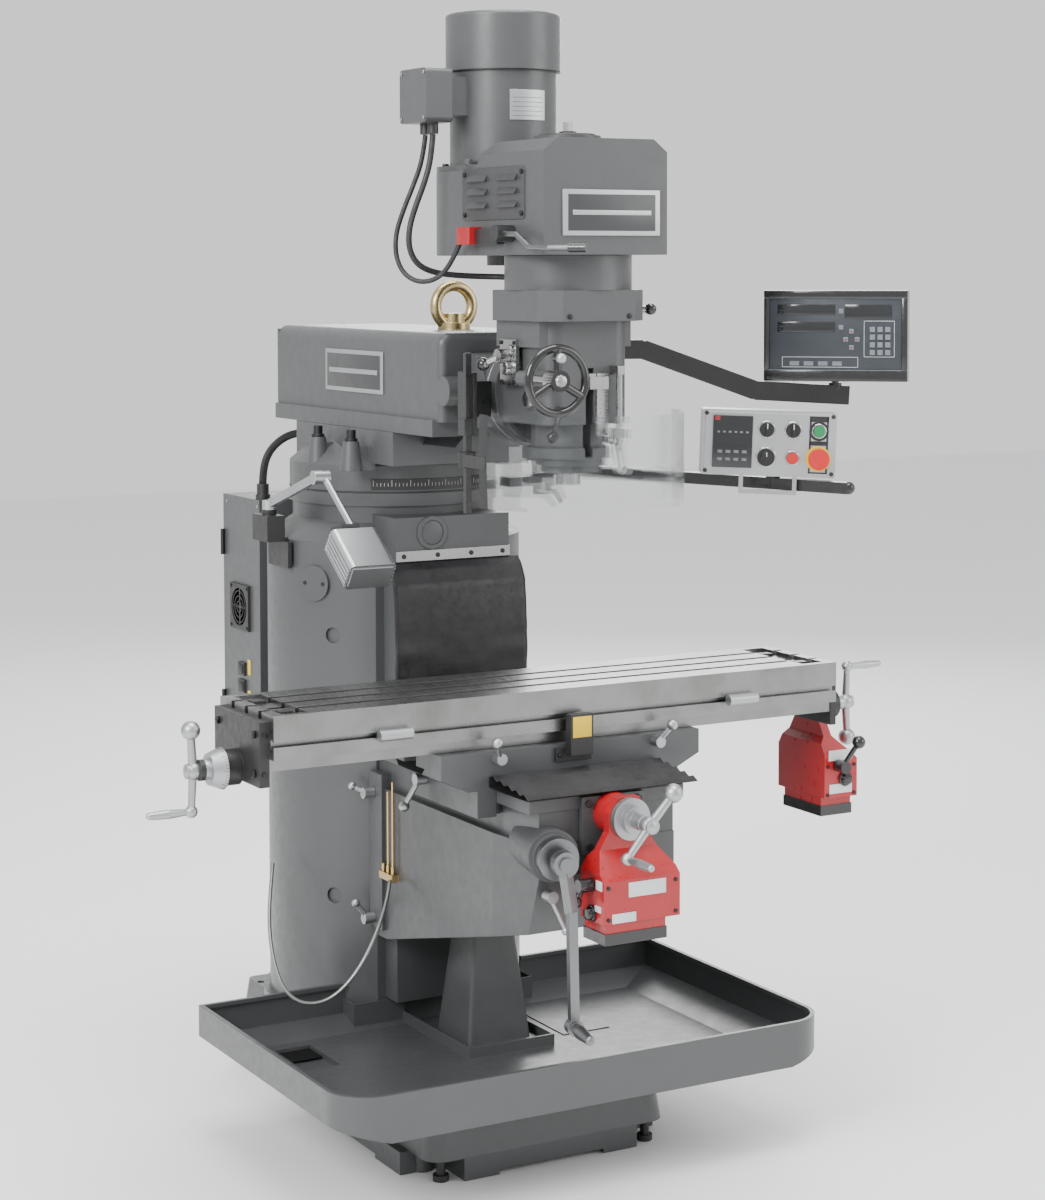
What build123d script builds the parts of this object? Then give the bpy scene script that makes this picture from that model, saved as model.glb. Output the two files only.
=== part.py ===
from build123d import *
import os
from math import cos, pi, radians, sin, tan

# Vertical knee mill, millimetres, +Z up, the operator stands on the -Y side.
# The origin is on the floor at the centre of the four anchor-bolt holes; X = 0 is the mid-plane.

os.makedirs("parts", exist_ok=True)

# ---------------------------------------------------------------- driving dimensions
GAP = 0.4                      # running clearance between bodies

BASE_TOP = 178
BASE_FRONT, BASE_BACK = -504, 474
ANCHOR_X, ANCHOR_Y, ANCHOR_R = 240, 400, 9

TRAY_X, TRAY_FRONT, TRAY_BACK, TRAY_RIM = 546, -695, 15, 269
SHEET = 3                      # sheet-metal thickness of the tray

TURRET_Y = 200                 # vertical axis of column and turret
COLUMN_R, SEAT_R = 279, 228
WAY_X, WAY_FACE, COLUMN_FACE = 136, -84, -31
COLUMN_TOP, SEAT_TOP = 1268, 1313

RAM_X, RAM_BACK, RAM_FRONT = 165, 467, -332
RAM_BOTTOM, RAM_TOP = 1453, 1663

TILT_Z = 1547                  # height of the tilt axis (Y) and of the nod axis (X)
NOD_Y = -350
KNUCKLE_X, KNUCKLE_R, KNUCKLE_FACE = 104, 76, -430
SPINDLE_Y, MOTOR_Y = -570, -311
NOSE_Z, QUILL_R, NOSE_R = 1371, 43, 23.5
WHEEL = (-124, -742, 1582)     # centre of the fine-feed handwheel
BORE_R, BORE_DEPTH = 12.05, 101.6
HOUSING_X, HOUSING_FRONT, HOUSING_BOTTOM, HOUSING_TOP = 136, -714, 1817, 2037

TABLE_LENGTH, TABLE_WIDTH, TABLE_TOP = 1270, 254, 973
TABLE_FRONT, TABLE_UNDER = -586, 890
TABLE_Y = TABLE_FRONT + TABLE_WIDTH / 2
SLOT_WIDTH, SLOT_PITCH = 16, 63.5
X_SCREW_Z, CRANK_RADIUS = 861, 76

SADDLE_X, SADDLE_FRONT, SADDLE_BACK, SADDLE_TOP = 292, -590, -325, 866
KNEE_TOP, KNEE_FRONT, KNEE_X, RAIL_X = 790, -717, 165, 172
Y_SCREW_Z = 755
SCREW_Y, SCREW_R = -215, 19    # elevating screw
CRANK_AXIS = (-132, -717, 690)
CRANK_TURN = 11.6              # degrees that the knee crank points left of straight ahead
CRANK_LENGTH = 304


# ---------------------------------------------------------------- helpers
def block(x0, x1, y0, y1, z0, z1):
    return Pos((x0 + x1) / 2, (y0 + y1) / 2, (z0 + z1) / 2) * Box(x1 - x0, y1 - y0, z1 - z0)


def rod(p, q, r, r2=None):
    """A cylinder, or a cone frustum, from p to q."""
    p, q = Vector(*p), Vector(*q)
    plane = Plane(origin=p, z_dir=q - p)
    length = (q - p).length
    if r2 is None:
        return plane * Cylinder(r, length, align=(Align.CENTER, Align.CENTER, Align.MIN))
    return plane * Cone(r, r2, length, align=(Align.CENTER, Align.CENTER, Align.MIN))


def ring(p, q, outer, inner):
    return rod(p, q, outer) - rod(p, q, inner)


def ball(p, r):
    return Pos(*p) * Sphere(r)


def bar(p, q, width, height):
    """A rectangular bar from p to q; height is its upright side."""
    p, q = Vector(*p), Vector(*q)
    plane = Plane(origin=p, z_dir=q - p, x_dir=(q - p).cross(Vector(0, 0, 1)))
    box = Box(width, height, (q - p).length, align=(Align.CENTER, Align.CENTER, Align.MIN))
    return plane * box


def prism_x(points, x0, x1):
    """Outline of (y, z) points pushed along X."""
    plane = Plane(origin=(x0, 0, 0), x_dir=(0, 1, 0), z_dir=(1, 0, 0))
    return extrude(plane * make_face(Polyline(*points, close=True)), x1 - x0)


def prism_y(points, y0, y1):
    """Outline of (x, z) points pushed along Y."""
    plane = Plane(origin=(0, y0, 0), x_dir=(1, 0, 0), z_dir=(0, -1, 0))
    return extrude(plane * make_face(Polyline(*points, close=True)), -(y1 - y0))


def prism_z(points, z0, z1):
    """Outline of (x, y) points pushed along Z."""
    return extrude(Plane.XY.offset(z0) * make_face(Polyline(*points, close=True)), z1 - z0)


def soften(shape, axis, radius):
    """Rounds the straight edges that run along one axis."""
    return fillet(shape.edges().filter_by(axis), radius)


def joined(*shapes):
    out = shapes[0]
    for shape in shapes[1:]:
        out = out + shape
    return out


def knob_lever(hub, axis, end, hub_r=11, rod_r=5, ball_r=11, hub_length=26):
    """A small hand lever: round hub along axis, round rod and ball."""
    hub, axis, end = Vector(*hub), Vector(*axis).normalized(), Vector(*end)
    outer = hub + axis * hub_length
    mid = hub + axis * (hub_length * 0.55)
    knob = Plane(origin=end, z_dir=end - mid) * Sphere(ball_r)
    stick = rod(tuple(mid), tuple(end), rod_r + 0.5) + knob
    return stick + rod(tuple(hub), tuple(outer), hub_r)


def cord_tube(points, radius):
    """A plain round tube along straight runs joined by tangent arcs."""
    pts = [Vector(*p) for p in points]
    radii = []
    for a, b, c in zip(pts, pts[1:], pts[2:]):
        turn = (b - a).get_angle(c - b)
        shorter = min((b - a).length, (c - b).length)
        radii.append(0.45 * shorter / tan(radians(turn) / 2))
    path = FilletPolyline(*pts, radius=radii)
    start = Plane(origin=path @ 0, z_dir=path % 0)
    tube = sweep(start * Circle(radius), path=path)
    print(f"cord radii {[round(r) for r in radii]} length {path.length:.0f}",
          f"volume ratio {tube.volume / (pi * radius ** 2 * path.length):.3f}")
    return tube


def save(name, *solids):
    flat = []
    for shape in solids:
        flat += shape.solids()
    export_step(Compound(children=flat), f"parts/{name}.step")


# ---------------------------------------------------------------- base, tray and pedestal
def base_casting():
    width = 548
    depth = BASE_BACK - BASE_FRONT
    centre_y = (BASE_BACK + BASE_FRONT) / 2
    foot = 45
    upper = Pos(0, centre_y, foot) * extrude(RectangleRounded(width, depth, 40), BASE_TOP - foot, taper=9)
    long_foot = block(-199, 199, BASE_FRONT, BASE_BACK, 0, foot + 1)
    wide_foot = block(-295, 295, -412, 381, 0, foot + 1)
    body = upper + long_foot + wide_foot
    for x in (-ANCHOR_X, ANCHOR_X):
        for y in (-ANCHOR_Y, ANCHOR_Y):
            body += rod((x, y, 0), (x, y, foot + 1), 22)
    body -= block(-165, 165, -440, 410, -1, 150)
    body -= block(-262, -185, -340, 310, -1, 130)
    body -= block(185, 262, -340, 310, -1, 130)
    for y in (BASE_FRONT, BASE_BACK):
        body -= block(-120, 120, y - 30, y + 30, -1, 9)
    for x in (-300, 300):
        body -= block(x - 30, x + 30, -300, 270, -1, 9)
    for x in (-ANCHOR_X, ANCHOR_X):
        for y in (-ANCHOR_Y, ANCHOR_Y):
            body -= rod((x, y, 0), (x, y, BASE_TOP + 1), ANCHOR_R)
    body -= rod((0, SCREW_Y, 140), (0, SCREW_Y, BASE_TOP + 1), 26)
    pads = []
    for x in (-236, 236):
        for y in (-474, 446):
            pads.append(rod((x, y, 0), (x, y, 12), 16) + rod((x, y, 12), (x, y, foot), 9))
    return [body] + pads


def tray_outline(inset, z0, z1):
    x = TRAY_X - inset
    front, back = TRAY_FRONT + inset, TRAY_BACK - inset
    plan = block(-x, x, front, back, z0, z1)
    corners = plan.edges().filter_by(Axis.Z).sort_by(Axis.Y)[:2]
    return fillet(corners, 85 - inset)


def tray_basin(inset, floor, z1):
    shape = tray_outline(inset, floor, z1)
    x, low_x = TRAY_X - inset, 451 - inset / 2
    back, low_back = TRAY_BACK - inset, -54 - inset / 2
    side_profile = [(-x, 204), (-low_x, floor), (low_x, floor), (x, 204), (x, z1), (-x, z1)]
    long_profile = [(TRAY_FRONT, floor), (low_back, floor), (back, 204), (back, z1), (TRAY_FRONT, z1)]
    shape &= prism_y(side_profile, TRAY_FRONT - 1, TRAY_BACK + 1)
    shape &= prism_x(long_profile, -TRAY_X - 1, TRAY_X + 1)
    return shape


def chip_tray():
    floor = BASE_TOP
    body = tray_basin(0, floor, TRAY_RIM) - tray_basin(SHEET, floor + SHEET, TRAY_RIM + 1)
    rim = tray_outline(0, TRAY_RIM - 9, TRAY_RIM) - tray_outline(9, TRAY_RIM - 10, TRAY_RIM + 1)
    body += rim
    notch = 214
    body -= block(-notch, notch, -36, TRAY_BACK + 1, floor - 1, TRAY_RIM + 1)
    for side in (-1, 1):
        x0, x1 = sorted((side * notch, side * (notch + SHEET)))
        body += block(x0, x1, -36 - SHEET, TRAY_BACK, floor, 235)
    body += block(-notch, -96, -36 - SHEET, -36, floor, 235) + block(96, notch, -36 - SHEET, -36, floor, 235)
    body += block(-100, 100, -340, -36, floor, 205)
    body -= block(-96, 96, -336, -35, floor - 1, 206)
    body -= block(-420, -340, -235, -85, floor - 1, floor + SHEET + 1)
    body += block(-422, -338, -237, -83, 166, floor + 1) - block(-420, -340, -235, -85, 168, floor + 5)
    hatch = block(150, 262, -292, -68, floor + SHEET, floor + SHEET + 2)
    strainer = block(-418, -342, -150, -87, 172, 174)
    return [body, hatch, strainer]


def screw_pedestal():
    """Tapered square nut housing that the elevating screw stands in."""
    low = Plane.XY.offset(BASE_TOP) * RectangleRounded(150, 150, 10)
    high = Plane.XY.offset(430) * RectangleRounded(96, 96, 10)
    body = Pos(0, SCREW_Y, 0) * loft([low, high])
    foot = block(-85, 85, SCREW_Y - 85, SCREW_Y + 85, BASE_TOP, 190)
    nut = rod((0, SCREW_Y, 430), (0, SCREW_Y, 452), 40)
    body = body + foot + nut - rod((0, SCREW_Y, 170), (0, SCREW_Y, 410), 26)
    return [body - rod((0, SCREW_Y, 400), (0, SCREW_Y, 460), SCREW_R + 0.5)]


# ---------------------------------------------------------------- column
def column_casting():
    outer = rod((0, TURRET_Y, BASE_TOP), (0, TURRET_Y, 1210), COLUMN_R)
    outer += rod((0, TURRET_Y, 1210), (0, TURRET_Y, 1250), COLUMN_R, SEAT_R - 6)
    outer += rod((0, TURRET_Y, 1250), (0, TURRET_Y, SEAT_TOP), SEAT_R - 6)
    outer += rod((0, TURRET_Y, 1285), (0, TURRET_Y, SEAT_TOP), SEAT_R)
    outer -= block(-300, 300, -120, COLUMN_FACE, BASE_TOP - 1, SEAT_TOP + 1)
    outer += block(-WAY_X, WAY_X, WAY_FACE, 0, BASE_TOP + 60, COLUMN_TOP)
    outer += block(-WAY_X, WAY_X, -40, 60, 1180, COLUMN_TOP)
    flange = rod((0, TURRET_Y, BASE_TOP), (0, TURRET_Y, 200), COLUMN_R + 14)
    outer += flange - block(-320, 320, -140, 24, BASE_TOP - 1, 260)
    inner = rod((0, TURRET_Y, BASE_TOP - 1), (0, TURRET_Y, 1200), COLUMN_R - 22)
    inner -= block(-300, 300, -120, 8, 0, 1300)
    body = outer - inner
    body -= rod((0, TURRET_Y, 1199), (0, TURRET_Y, SEAT_TOP + 1), 120)
    pocket_angle = 36
    px = -cos(radians(pocket_angle))
    py = -sin(radians(pocket_angle))
    for z in (1013, 454):
        a = (px * (COLUMN_R + 5), TURRET_Y + py * (COLUMN_R + 5), z)
        b = (px * (COLUMN_R - 8), TURRET_Y + py * (COLUMN_R - 8), z)
        body -= rod(a, b, 17)
    disc_angle = 27
    dx = -cos(radians(disc_angle))
    dy = -sin(radians(disc_angle))
    a = (dx * (COLUMN_R - 6), TURRET_Y + dy * (COLUMN_R - 6), 1122)
    b = (dx * (COLUMN_R + 5), TURRET_Y + dy * (COLUMN_R + 5), 1122)
    cover = rod(a, b, 38) - rod((0, TURRET_Y, 1000), (0, TURRET_Y, 1190), COLUMN_R + 0.05)
    strip = block(-WAY_X, WAY_X, WAY_FACE - 5, WAY_FACE, 1176, 1198)
    return [body, cover, strip]


def rear_way_cover():
    """Limp sheet from the column strip down behind the saddle; plain closed solid."""
    outline = [(WAY_FACE - 1, 1175), (-124, 1130), (-128, 960), (-100, 800), (-96, 800), (-123, 960),
               (-119, 1128), (WAY_FACE - 1, 1171)]
    return [prism_x(outline, -158, 158)]


# ---------------------------------------------------------------- electrical cabinet
CABINET_X, CABINET_FRONT, CABINET_BACK = 197, 490, 688
CABINET_BOTTOM, CABINET_TOP = 700, 1263
FAN_Y, FAN_Z = 597, 1007


def cabinet_case():
    outer = block(-CABINET_X, CABINET_X, CABINET_FRONT, CABINET_BACK, CABINET_BOTTOM, CABINET_TOP)
    inner = block(-CABINET_X + 2, CABINET_X - 2, CABINET_FRONT + 2, CABINET_BACK + 1,
                  CABINET_BOTTOM + 2, CABINET_TOP - 2)
    case = outer - inner
    case -= rod((-CABINET_X - 1, FAN_Y, FAN_Z), (-CABINET_X + 3, FAN_Y, FAN_Z), 45)
    mounts = []
    for z in (760, 1160):
        mounts.append(block(-60, 60, 470, CABINET_FRONT, z - 20, z + 20)
                      - rod((0, TURRET_Y, z - 30), (0, TURRET_Y, z + 30), COLUMN_R))
    grille = block(-CABINET_X - 7, -CABINET_X, FAN_Y - 53, FAN_Y + 53, FAN_Z - 53, FAN_Z + 53)
    grille -= rod((-CABINET_X - 8, FAN_Y, FAN_Z), (-CABINET_X + 1, FAN_Y, FAN_Z), 44)
    for r in (12, 24, 36):
        grille += ring((-CABINET_X - 7, FAN_Y, FAN_Z), (-CABINET_X - 5, FAN_Y, FAN_Z), r + 2, r)
    grille += block(-CABINET_X - 5, -CABINET_X - 3, FAN_Y - 46, FAN_Y + 46, FAN_Z - 3, FAN_Z + 3)
    grille += block(-CABINET_X - 5, -CABINET_X - 3, FAN_Y - 3, FAN_Y + 3, FAN_Z - 46, FAN_Z + 46)
    outlets = []
    for z in (823, 863):
        outlets.append(block(-CABINET_X - 6, -CABINET_X, 572, 608, z - 15, z + 15))
    gland = rod((-178, 512, CABINET_TOP), (-178, 512, CABINET_TOP + 12), 17)
    gland += rod((-178, 512, CABINET_TOP + 12), (-178, 512, CABINET_TOP + 36), 14)
    back_plate = block(-160, 160, CABINET_FRONT + 2, CABINET_FRONT + 5, 730, 1200)
    gear = block(-120, 20, CABINET_FRONT + 5, CABINET_FRONT + 95, 900, 1120)
    return [case, grille, back_plate, gear, gland] + mounts + outlets


def cabinet_door():
    door = block(-CABINET_X, CABINET_X, CABINET_BACK + 0.5, CABINET_BACK + 14.5, CABINET_BOTTOM, CABINET_TOP)
    door -= block(-CABINET_X + 2, CABINET_X - 2, CABINET_BACK, CABINET_BACK + 12.5,
                  CABINET_BOTTOM + 2, CABINET_TOP - 2)
    latch = rod((170, CABINET_BACK + 14.5, 965), (170, CABINET_BACK + 24, 965), 14)
    hinges = []
    for z in (770, 1150):
        hinges.append(rod((-CABINET_X - 5, CABINET_BACK + 8, z - 30), (-CABINET_X - 5, CABINET_BACK + 8, z + 30), 5))
    return [door, latch] + hinges


HOSE_ROUTE = [(-178, 512, 1299.5), (-178, 510, 1335), (-170, 492, 1376), (-152, 458, 1406),
              (-130, 418, 1421), (-110, 375, 1421)]


# ---------------------------------------------------------------- lamp on the column's left side
LAMP_X = -303
LAMP_SHOULDER = (LAMP_X, 190, 1284)
LAMP_ELBOW = (-290, -28, 1357)
LAMP_WRIST = (-290, -168, 1259)


def lamp_bracket():
    plate = block(-286, -277, 130, 235, 1150, 1206)
    saddle = block(-279, -255, 140, 225, 1160, 1196)
    body = block(-325, -284, 150, 230, 1206, 1262) + block(-286, -277, 150, 230, 1195, 1215)
    post = rod((LAMP_X, 190, 1262), (LAMP_X, 190, 1272), 16)
    column = rod((0, TURRET_Y, 1100), (0, TURRET_Y, 1216), COLUMN_R)
    return [plate + saddle + body + post - column]


def lamp_arm():
    x, y, z = LAMP_SHOULDER
    foot = rod((x, y, 1272.5), (x, y, 1292), 15)
    arm = bar((x, y, 1284), LAMP_ELBOW, 12, 18)
    ex, ey, ez = LAMP_ELBOW
    knuckle = rod((ex - 9, ey, ez), (ex + 9, ey, ez), 15)
    return [foot + arm + knuckle]


def lamp_rod():
    x, y, z = LAMP_ELBOW
    hub = rod((x + 9.5, y, z), (x + 27, y, z), 14)
    start = (x + 18, y, z)
    end = (x + 18, LAMP_WRIST[1], LAMP_WRIST[2])
    tube = rod(start, end, 7)
    wrist = rod((x + 9.5, end[1], end[2]), (x + 27, end[1], end[2]), 13)
    return [hub + tube + wrist]


LAMP_TILT = 36                 # degrees that the lamp head points down


def lamp_head():
    x, y, z = LAMP_WRIST
    frame = Plane(origin=(x, y, z), x_dir=(1, 0, 0), z_dir=(0, -sin(radians(90 - LAMP_TILT)), -cos(radians(90 - LAMP_TILT))))
    yoke = rod((x - 9, y, z), (x + 9, y, z), 13) + frame * Pos(0, 0, 16) * Box(16, 12, 26)
    shell = frame * Pos(0, 0, 84) * Box(104, 62, 112)
    shell = soften(shell, Axis(origin=(0, 0, 0), direction=tuple(frame.z_dir)), 12)
    for side in (-1, 1):
        for k in range(5):
            shell -= frame * Pos(side * 52, -20 + 10 * k, 84) * Box(6, 4, 120)
    face = frame * Pos(0, 0, 138) * Box(88, 46, 8)
    cap = frame * Pos(0, 0, 27.6) * Box(90, 50, 2)
    knob = rod((x - 30, y, z), (x - 9, y, z), 9)
    return [yoke + cap, shell - face, face, knob]


# ---------------------------------------------------------------- turret and ram
def turret_saddle():
    z0 = SEAT_TOP + 0.5
    body = rod((0, TURRET_Y, z0), (0, TURRET_Y, 1372), SEAT_R)
    body += rod((0, TURRET_Y, 1372), (0, TURRET_Y, 1425), SEAT_R, 165)
    body += block(-RAM_X, RAM_X, -133, 351, 1382, RAM_BOTTOM - 0.5)
    body &= block(-SEAT_R, SEAT_R, -133, 351, z0, RAM_BOTTOM) + rod((0, TURRET_Y, z0), (0, TURRET_Y, 1372), SEAT_R)
    body -= rod((0, TURRET_Y, z0 - 1), (0, TURRET_Y, 1360), 110)
    slot = prism_y([(-70, RAM_BOTTOM + 1), (-95, RAM_BOTTOM - 28), (95, RAM_BOTTOM - 28), (70, RAM_BOTTOM + 1)],
                   -134, 352)
    body -= slot
    bolts = []
    for x in (-200, 200):
        for y in (160, -6):
            body += rod((x, y, 1366), (x, y, 1428), 25, 17)
            body += block(min(x, 0.75 * x), max(x, 0.75 * x), y - 14, y + 14, 1366, 1416)
            bolts.append(rod((x, y, 1428), (x, y, 1434), 14) + rod((x, y, 1434), (x, y, 1452), 10))
    gland = rod((-110, 351, 1421), (-110, 372, 1421), 14)
    body -= rod((-110, 340, 1421), (-110, 352, 1421), 8)
    return [body, gland - rod((-110, 350, 1421), (-110, 373, 1421), 9)] + bolts


def ram_casting():
    upper = block(-RAM_X + 8, RAM_X - 8, RAM_FRONT, RAM_BACK, RAM_BOTTOM + 30, RAM_TOP)
    upper = fillet(upper.edges().filter_by(Axis.Y).sort_by(Axis.Z)[-2:], 26)
    flange = block(-RAM_X, RAM_X, RAM_FRONT + 20, RAM_BACK, RAM_BOTTOM, RAM_BOTTOM + 34)
    body = upper + flange
    body = fillet(body.edges().filter_by(Axis.Z).sort_by(Axis.Y)[:2], 15)
    body -= block(-RAM_X + 26, RAM_X - 26, RAM_FRONT + 70, RAM_BACK + 1, RAM_BOTTOM + 50, RAM_TOP - 22)
    body -= block(-RAM_X + 50, RAM_X - 50, RAM_FRONT + 90, RAM_BACK - 60, RAM_BOTTOM + 26, RAM_BOTTOM + 51)
    body += prism_y([(-68.5, RAM_BOTTOM + 1), (-93, RAM_BOTTOM - 27), (93, RAM_BOTTOM - 27), (68.5, RAM_BOTTOM + 1)],
                    RAM_FRONT + 60, RAM_BACK)
    body -= block(-46, 46, RAM_FRONT + 100, RAM_BACK + 1, RAM_BOTTOM - 30, RAM_BOTTOM + 20)
    body -= rod((-KNUCKLE_X - 2, NOD_Y, TILT_Z), (KNUCKLE_X + 2, NOD_Y, TILT_Z), KNUCKLE_R + 2)
    body -= rod((-RAM_X - 1, NOD_Y, TILT_Z), (RAM_X + 1, NOD_Y, TILT_Z), 30)
    cover = block(-RAM_X + 9, RAM_X - 9, RAM_BACK, RAM_BACK + 6, RAM_BOTTOM + 30, RAM_TOP - 8)
    eye = eye_bolt()
    stud = rod((60, -250, RAM_TOP), (60, -250, RAM_TOP + 34), 11)
    return [body, cover, eye, stud]


def eye_bolt():
    """Lifting eye on the ram's top: collar, shank and ring."""
    eye_y, ring_z = -93, RAM_TOP + 49
    collar = rod((0, eye_y, RAM_TOP), (0, eye_y, RAM_TOP + 14), 34)
    shank = rod((0, eye_y, RAM_TOP + 14), (0, eye_y, RAM_TOP + 34), 22)
    plane = Plane(origin=(0, eye_y, ring_z), z_dir=(0, 1, 0))
    eye = collar + shank + plane * Torus(43, 12)
    return eye - block(-60, 60, eye_y - 40, eye_y + 40, RAM_TOP - 20, RAM_TOP)


# ---------------------------------------------------------------- head: knuckle, castings, housings, motor
RING_R = 106


def head_knuckle():
    """Nods inside the ram's round nose; its front flange carries the tilting head."""
    barrel = rod((-KNUCKLE_X, NOD_Y, TILT_Z), (KNUCKLE_X, NOD_Y, TILT_Z), KNUCKLE_R)
    neck = block(-KNUCKLE_X, KNUCKLE_X, NOD_Y - 50, NOD_Y, TILT_Z - 56, TILT_Z + 56)
    flange = rod((0, NOD_Y - 48, TILT_Z), (0, KNUCKLE_FACE, TILT_Z), RING_R - 2)
    body = barrel + neck + flange - rod((0, -250, TILT_Z), (0, -440, TILT_Z), 30)
    trunnion = rod((-RAM_X + 4, NOD_Y, TILT_Z), (RAM_X - 4, NOD_Y, TILT_Z), 29.5)
    return [body + trunnion - rod((0, -250, TILT_Z), (0, -440, TILT_Z), 22)]


def head_casting():
    back = KNUCKLE_FACE - GAP
    ring_part = rod((0, back, TILT_Z), (0, -468, TILT_Z), RING_R)
    body = block(-94, 94, -652, -466, 1492, 1690)
    body = fillet(body.edges().filter_by(Axis.Z).sort_by(Axis.Y)[:2], 34)
    top = block(-104, 100, -640, -470, 1640, 1690)
    barrel = rod((0, SPINDLE_Y, 1410), (0, SPINDLE_Y, 1500), 72)
    boss = rod((0, SPINDLE_Y, 1424), (0, SPINDLE_Y, 1446), 80)
    casting = body + top + barrel + boss + ring_part
    casting += rod((-104, -520, 1606), (-94, -520, 1606), 30)
    casting += block(WHEEL[0], -90, -640, -606, WHEEL[2] - 15, WHEEL[2] + 15)
    casting += rod((WHEEL[0], -640, WHEEL[2]), (WHEEL[0], -606, WHEEL[2]), 15)
    for z in LUG_HEIGHTS:
        casting += block(90, 130, -500, -452, z - 16, z + 16)
    casting -= rod((0, SPINDLE_Y, 1400), (0, SPINDLE_Y, 1640), QUILL_R + GAP)
    casting -= rod((0, SPINDLE_Y, 1600), (0, SPINDLE_Y, 1700), 32)
    casting -= block(-9, 9, -700, SPINDLE_Y - 40, 1428, 1600)
    casting -= rod((WHEEL[0], -650, WHEEL[2]), (WHEEL[0], -590, WHEEL[2]), 8.3)
    bearing = ring((0, SPINDLE_Y, 1396), (0, SPINDLE_Y, 1410), 60, QUILL_R + GAP)
    return [casting, bearing]


LUG_HEIGHTS = (1507, 1606)
POST_X, POST_Y = -178, -486    # guard post


def head_fittings():
    """Feed gearbox plate, depth scale, stop rod, clamp bolts and the guard post."""
    plate = block(-112, -104, -562, -498, 1566, 1654)
    scale = block(14, 38, -656, -652, 1470, 1590)
    stop = rod((52, -676, 1440), (52, -676, 1600), 6) + rod((52, -676, 1466), (52, -676, 1484), 17)
    stop += block(44, 60, -684, -652, 1588, 1604)
    bolts = []
    for z in LUG_HEIGHTS:
        bolts.append(rod((113, -500, z), (113, -514, z), 13) + rod((113, -514, z), (113, -526, z), 8))
    arm = block(POST_X + 6, -106.5, -452, -436, 1500, 1570)
    arm += block(POST_X + 6, POST_X + 14, -500, -436, 1466, 1590)
    post = block(POST_X - 6, POST_X + 6, POST_Y - 6, POST_Y + 6, 1316, 1628)
    clamp = block(POST_X - 12, POST_X + 12, POST_Y - 12, POST_Y + 12, 1468, 1500) - post
    arm -= post + clamp
    return [plate, scale, stop, arm, post, clamp] + bolts


def gear_housing():
    low = prism_z([(-118, -655), (-80, -690), (80, -690), (118, -655), (118, -480), (80, -452), (-80, -452),
                   (-118, -480)], 1690.5, 1750)
    drum = rod((0, SPINDLE_Y, 1750), (0, SPINDLE_Y, HOUSING_BOTTOM - 0.5), 124)
    hub = rod((110, SPINDLE_Y, 1711), (124, SPINDLE_Y, 1711), 20)
    body = low + drum + hub
    body -= rod((0, SPINDLE_Y, 1690), (0, SPINDLE_Y, 1820), 62)
    return [body]


def housing_shape(inset, z0, z1):
    """Belt housing: square front, round back about the motor axis."""
    x = HOUSING_X - inset
    return block(-x, x, HOUSING_FRONT + inset, MOTOR_Y, z0, z1) + rod((0, MOTOR_Y, z0), (0, MOTOR_Y, z1), x)


def belt_housing():
    step_y, step_z = -476, 1985
    outer = housing_shape(0, HOUSING_BOTTOM, HOUSING_TOP)
    chamfer = 24
    x = HOUSING_X
    roof = [(-x, HOUSING_BOTTOM), (x, HOUSING_BOTTOM), (x, HOUSING_TOP - chamfer), (x - chamfer - 6, HOUSING_TOP),
            (-x + chamfer + 6, HOUSING_TOP), (-x, HOUSING_TOP - chamfer)]
    outer &= prism_y(roof, -800, -100)
    side = [(-720, HOUSING_BOTTOM), (MOTOR_Y + 92, HOUSING_BOTTOM), (MOTOR_Y + 138, 1884), (MOTOR_Y + 138, step_z),
            (step_y + 26, step_z), (step_y, HOUSING_TOP), (-720, HOUSING_TOP)]
    outer &= prism_x(side, -200, 200)
    inner = housing_shape(7, HOUSING_BOTTOM + 8, step_z - 8)
    inner &= prism_x([(-720, HOUSING_BOTTOM + 7), (MOTOR_Y + 84, HOUSING_BOTTOM + 7), (MOTOR_Y + 130, 1887),
                      (MOTOR_Y + 130, step_z), (-720, step_z)], -200, 200)
    shell = outer - inner
    shell -= rod((0, SPINDLE_Y, HOUSING_BOTTOM - 1), (0, SPINDLE_Y, HOUSING_BOTTOM + 9), 60)
    shell -= rod((0, MOTOR_Y, step_z - 9), (0, MOTOR_Y, step_z + 1), 60)
    shell -= rod((0, SPINDLE_Y, HOUSING_TOP - 60), (0, SPINDLE_Y, HOUSING_TOP + 1), 30)
    disc = ring((0, SPINDLE_Y, HOUSING_TOP), (0, SPINDLE_Y, HOUSING_TOP + 10), 65, 30)
    louvre = block(-HOUSING_X - 2, -HOUSING_X, -643, -393, 1885, 1986)
    louvre = fillet(louvre.edges().filter_by(Axis.X), 9)
    for row in range(3):
        for column in (-578, -458):
            z = 1908 + row * 26
            louvre += prism_y([(-HOUSING_X - 2, z + 13), (-HOUSING_X - 10, z), (-HOUSING_X - 2, z)],
                              column - 38, column + 38)
    hub = rod((0, MOTOR_Y, HOUSING_BOTTOM - 20), (0, MOTOR_Y, HOUSING_BOTTOM), 34)
    switch = block(-HOUSING_X - 28, -HOUSING_X, -470, -418, 1838, 1872)
    bracket = block(-HOUSING_X - 16, -HOUSING_X, -560, -472, 1838, 1868)
    return [shell, disc, louvre, hub, switch, bracket]


PULLEY_R, BELT_Z0, BELT_Z1 = 77.5, 1884, 1916


def pulley(y, bore):
    """Grooved belt pulley on a vertical axis."""
    disc = rod((0, y, BELT_Z0 - 6), (0, y, BELT_Z1 + 6), PULLEY_R)
    return disc - rod((0, y, BELT_Z0 - 7), (0, y, BELT_Z1 + 7), bore)


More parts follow.
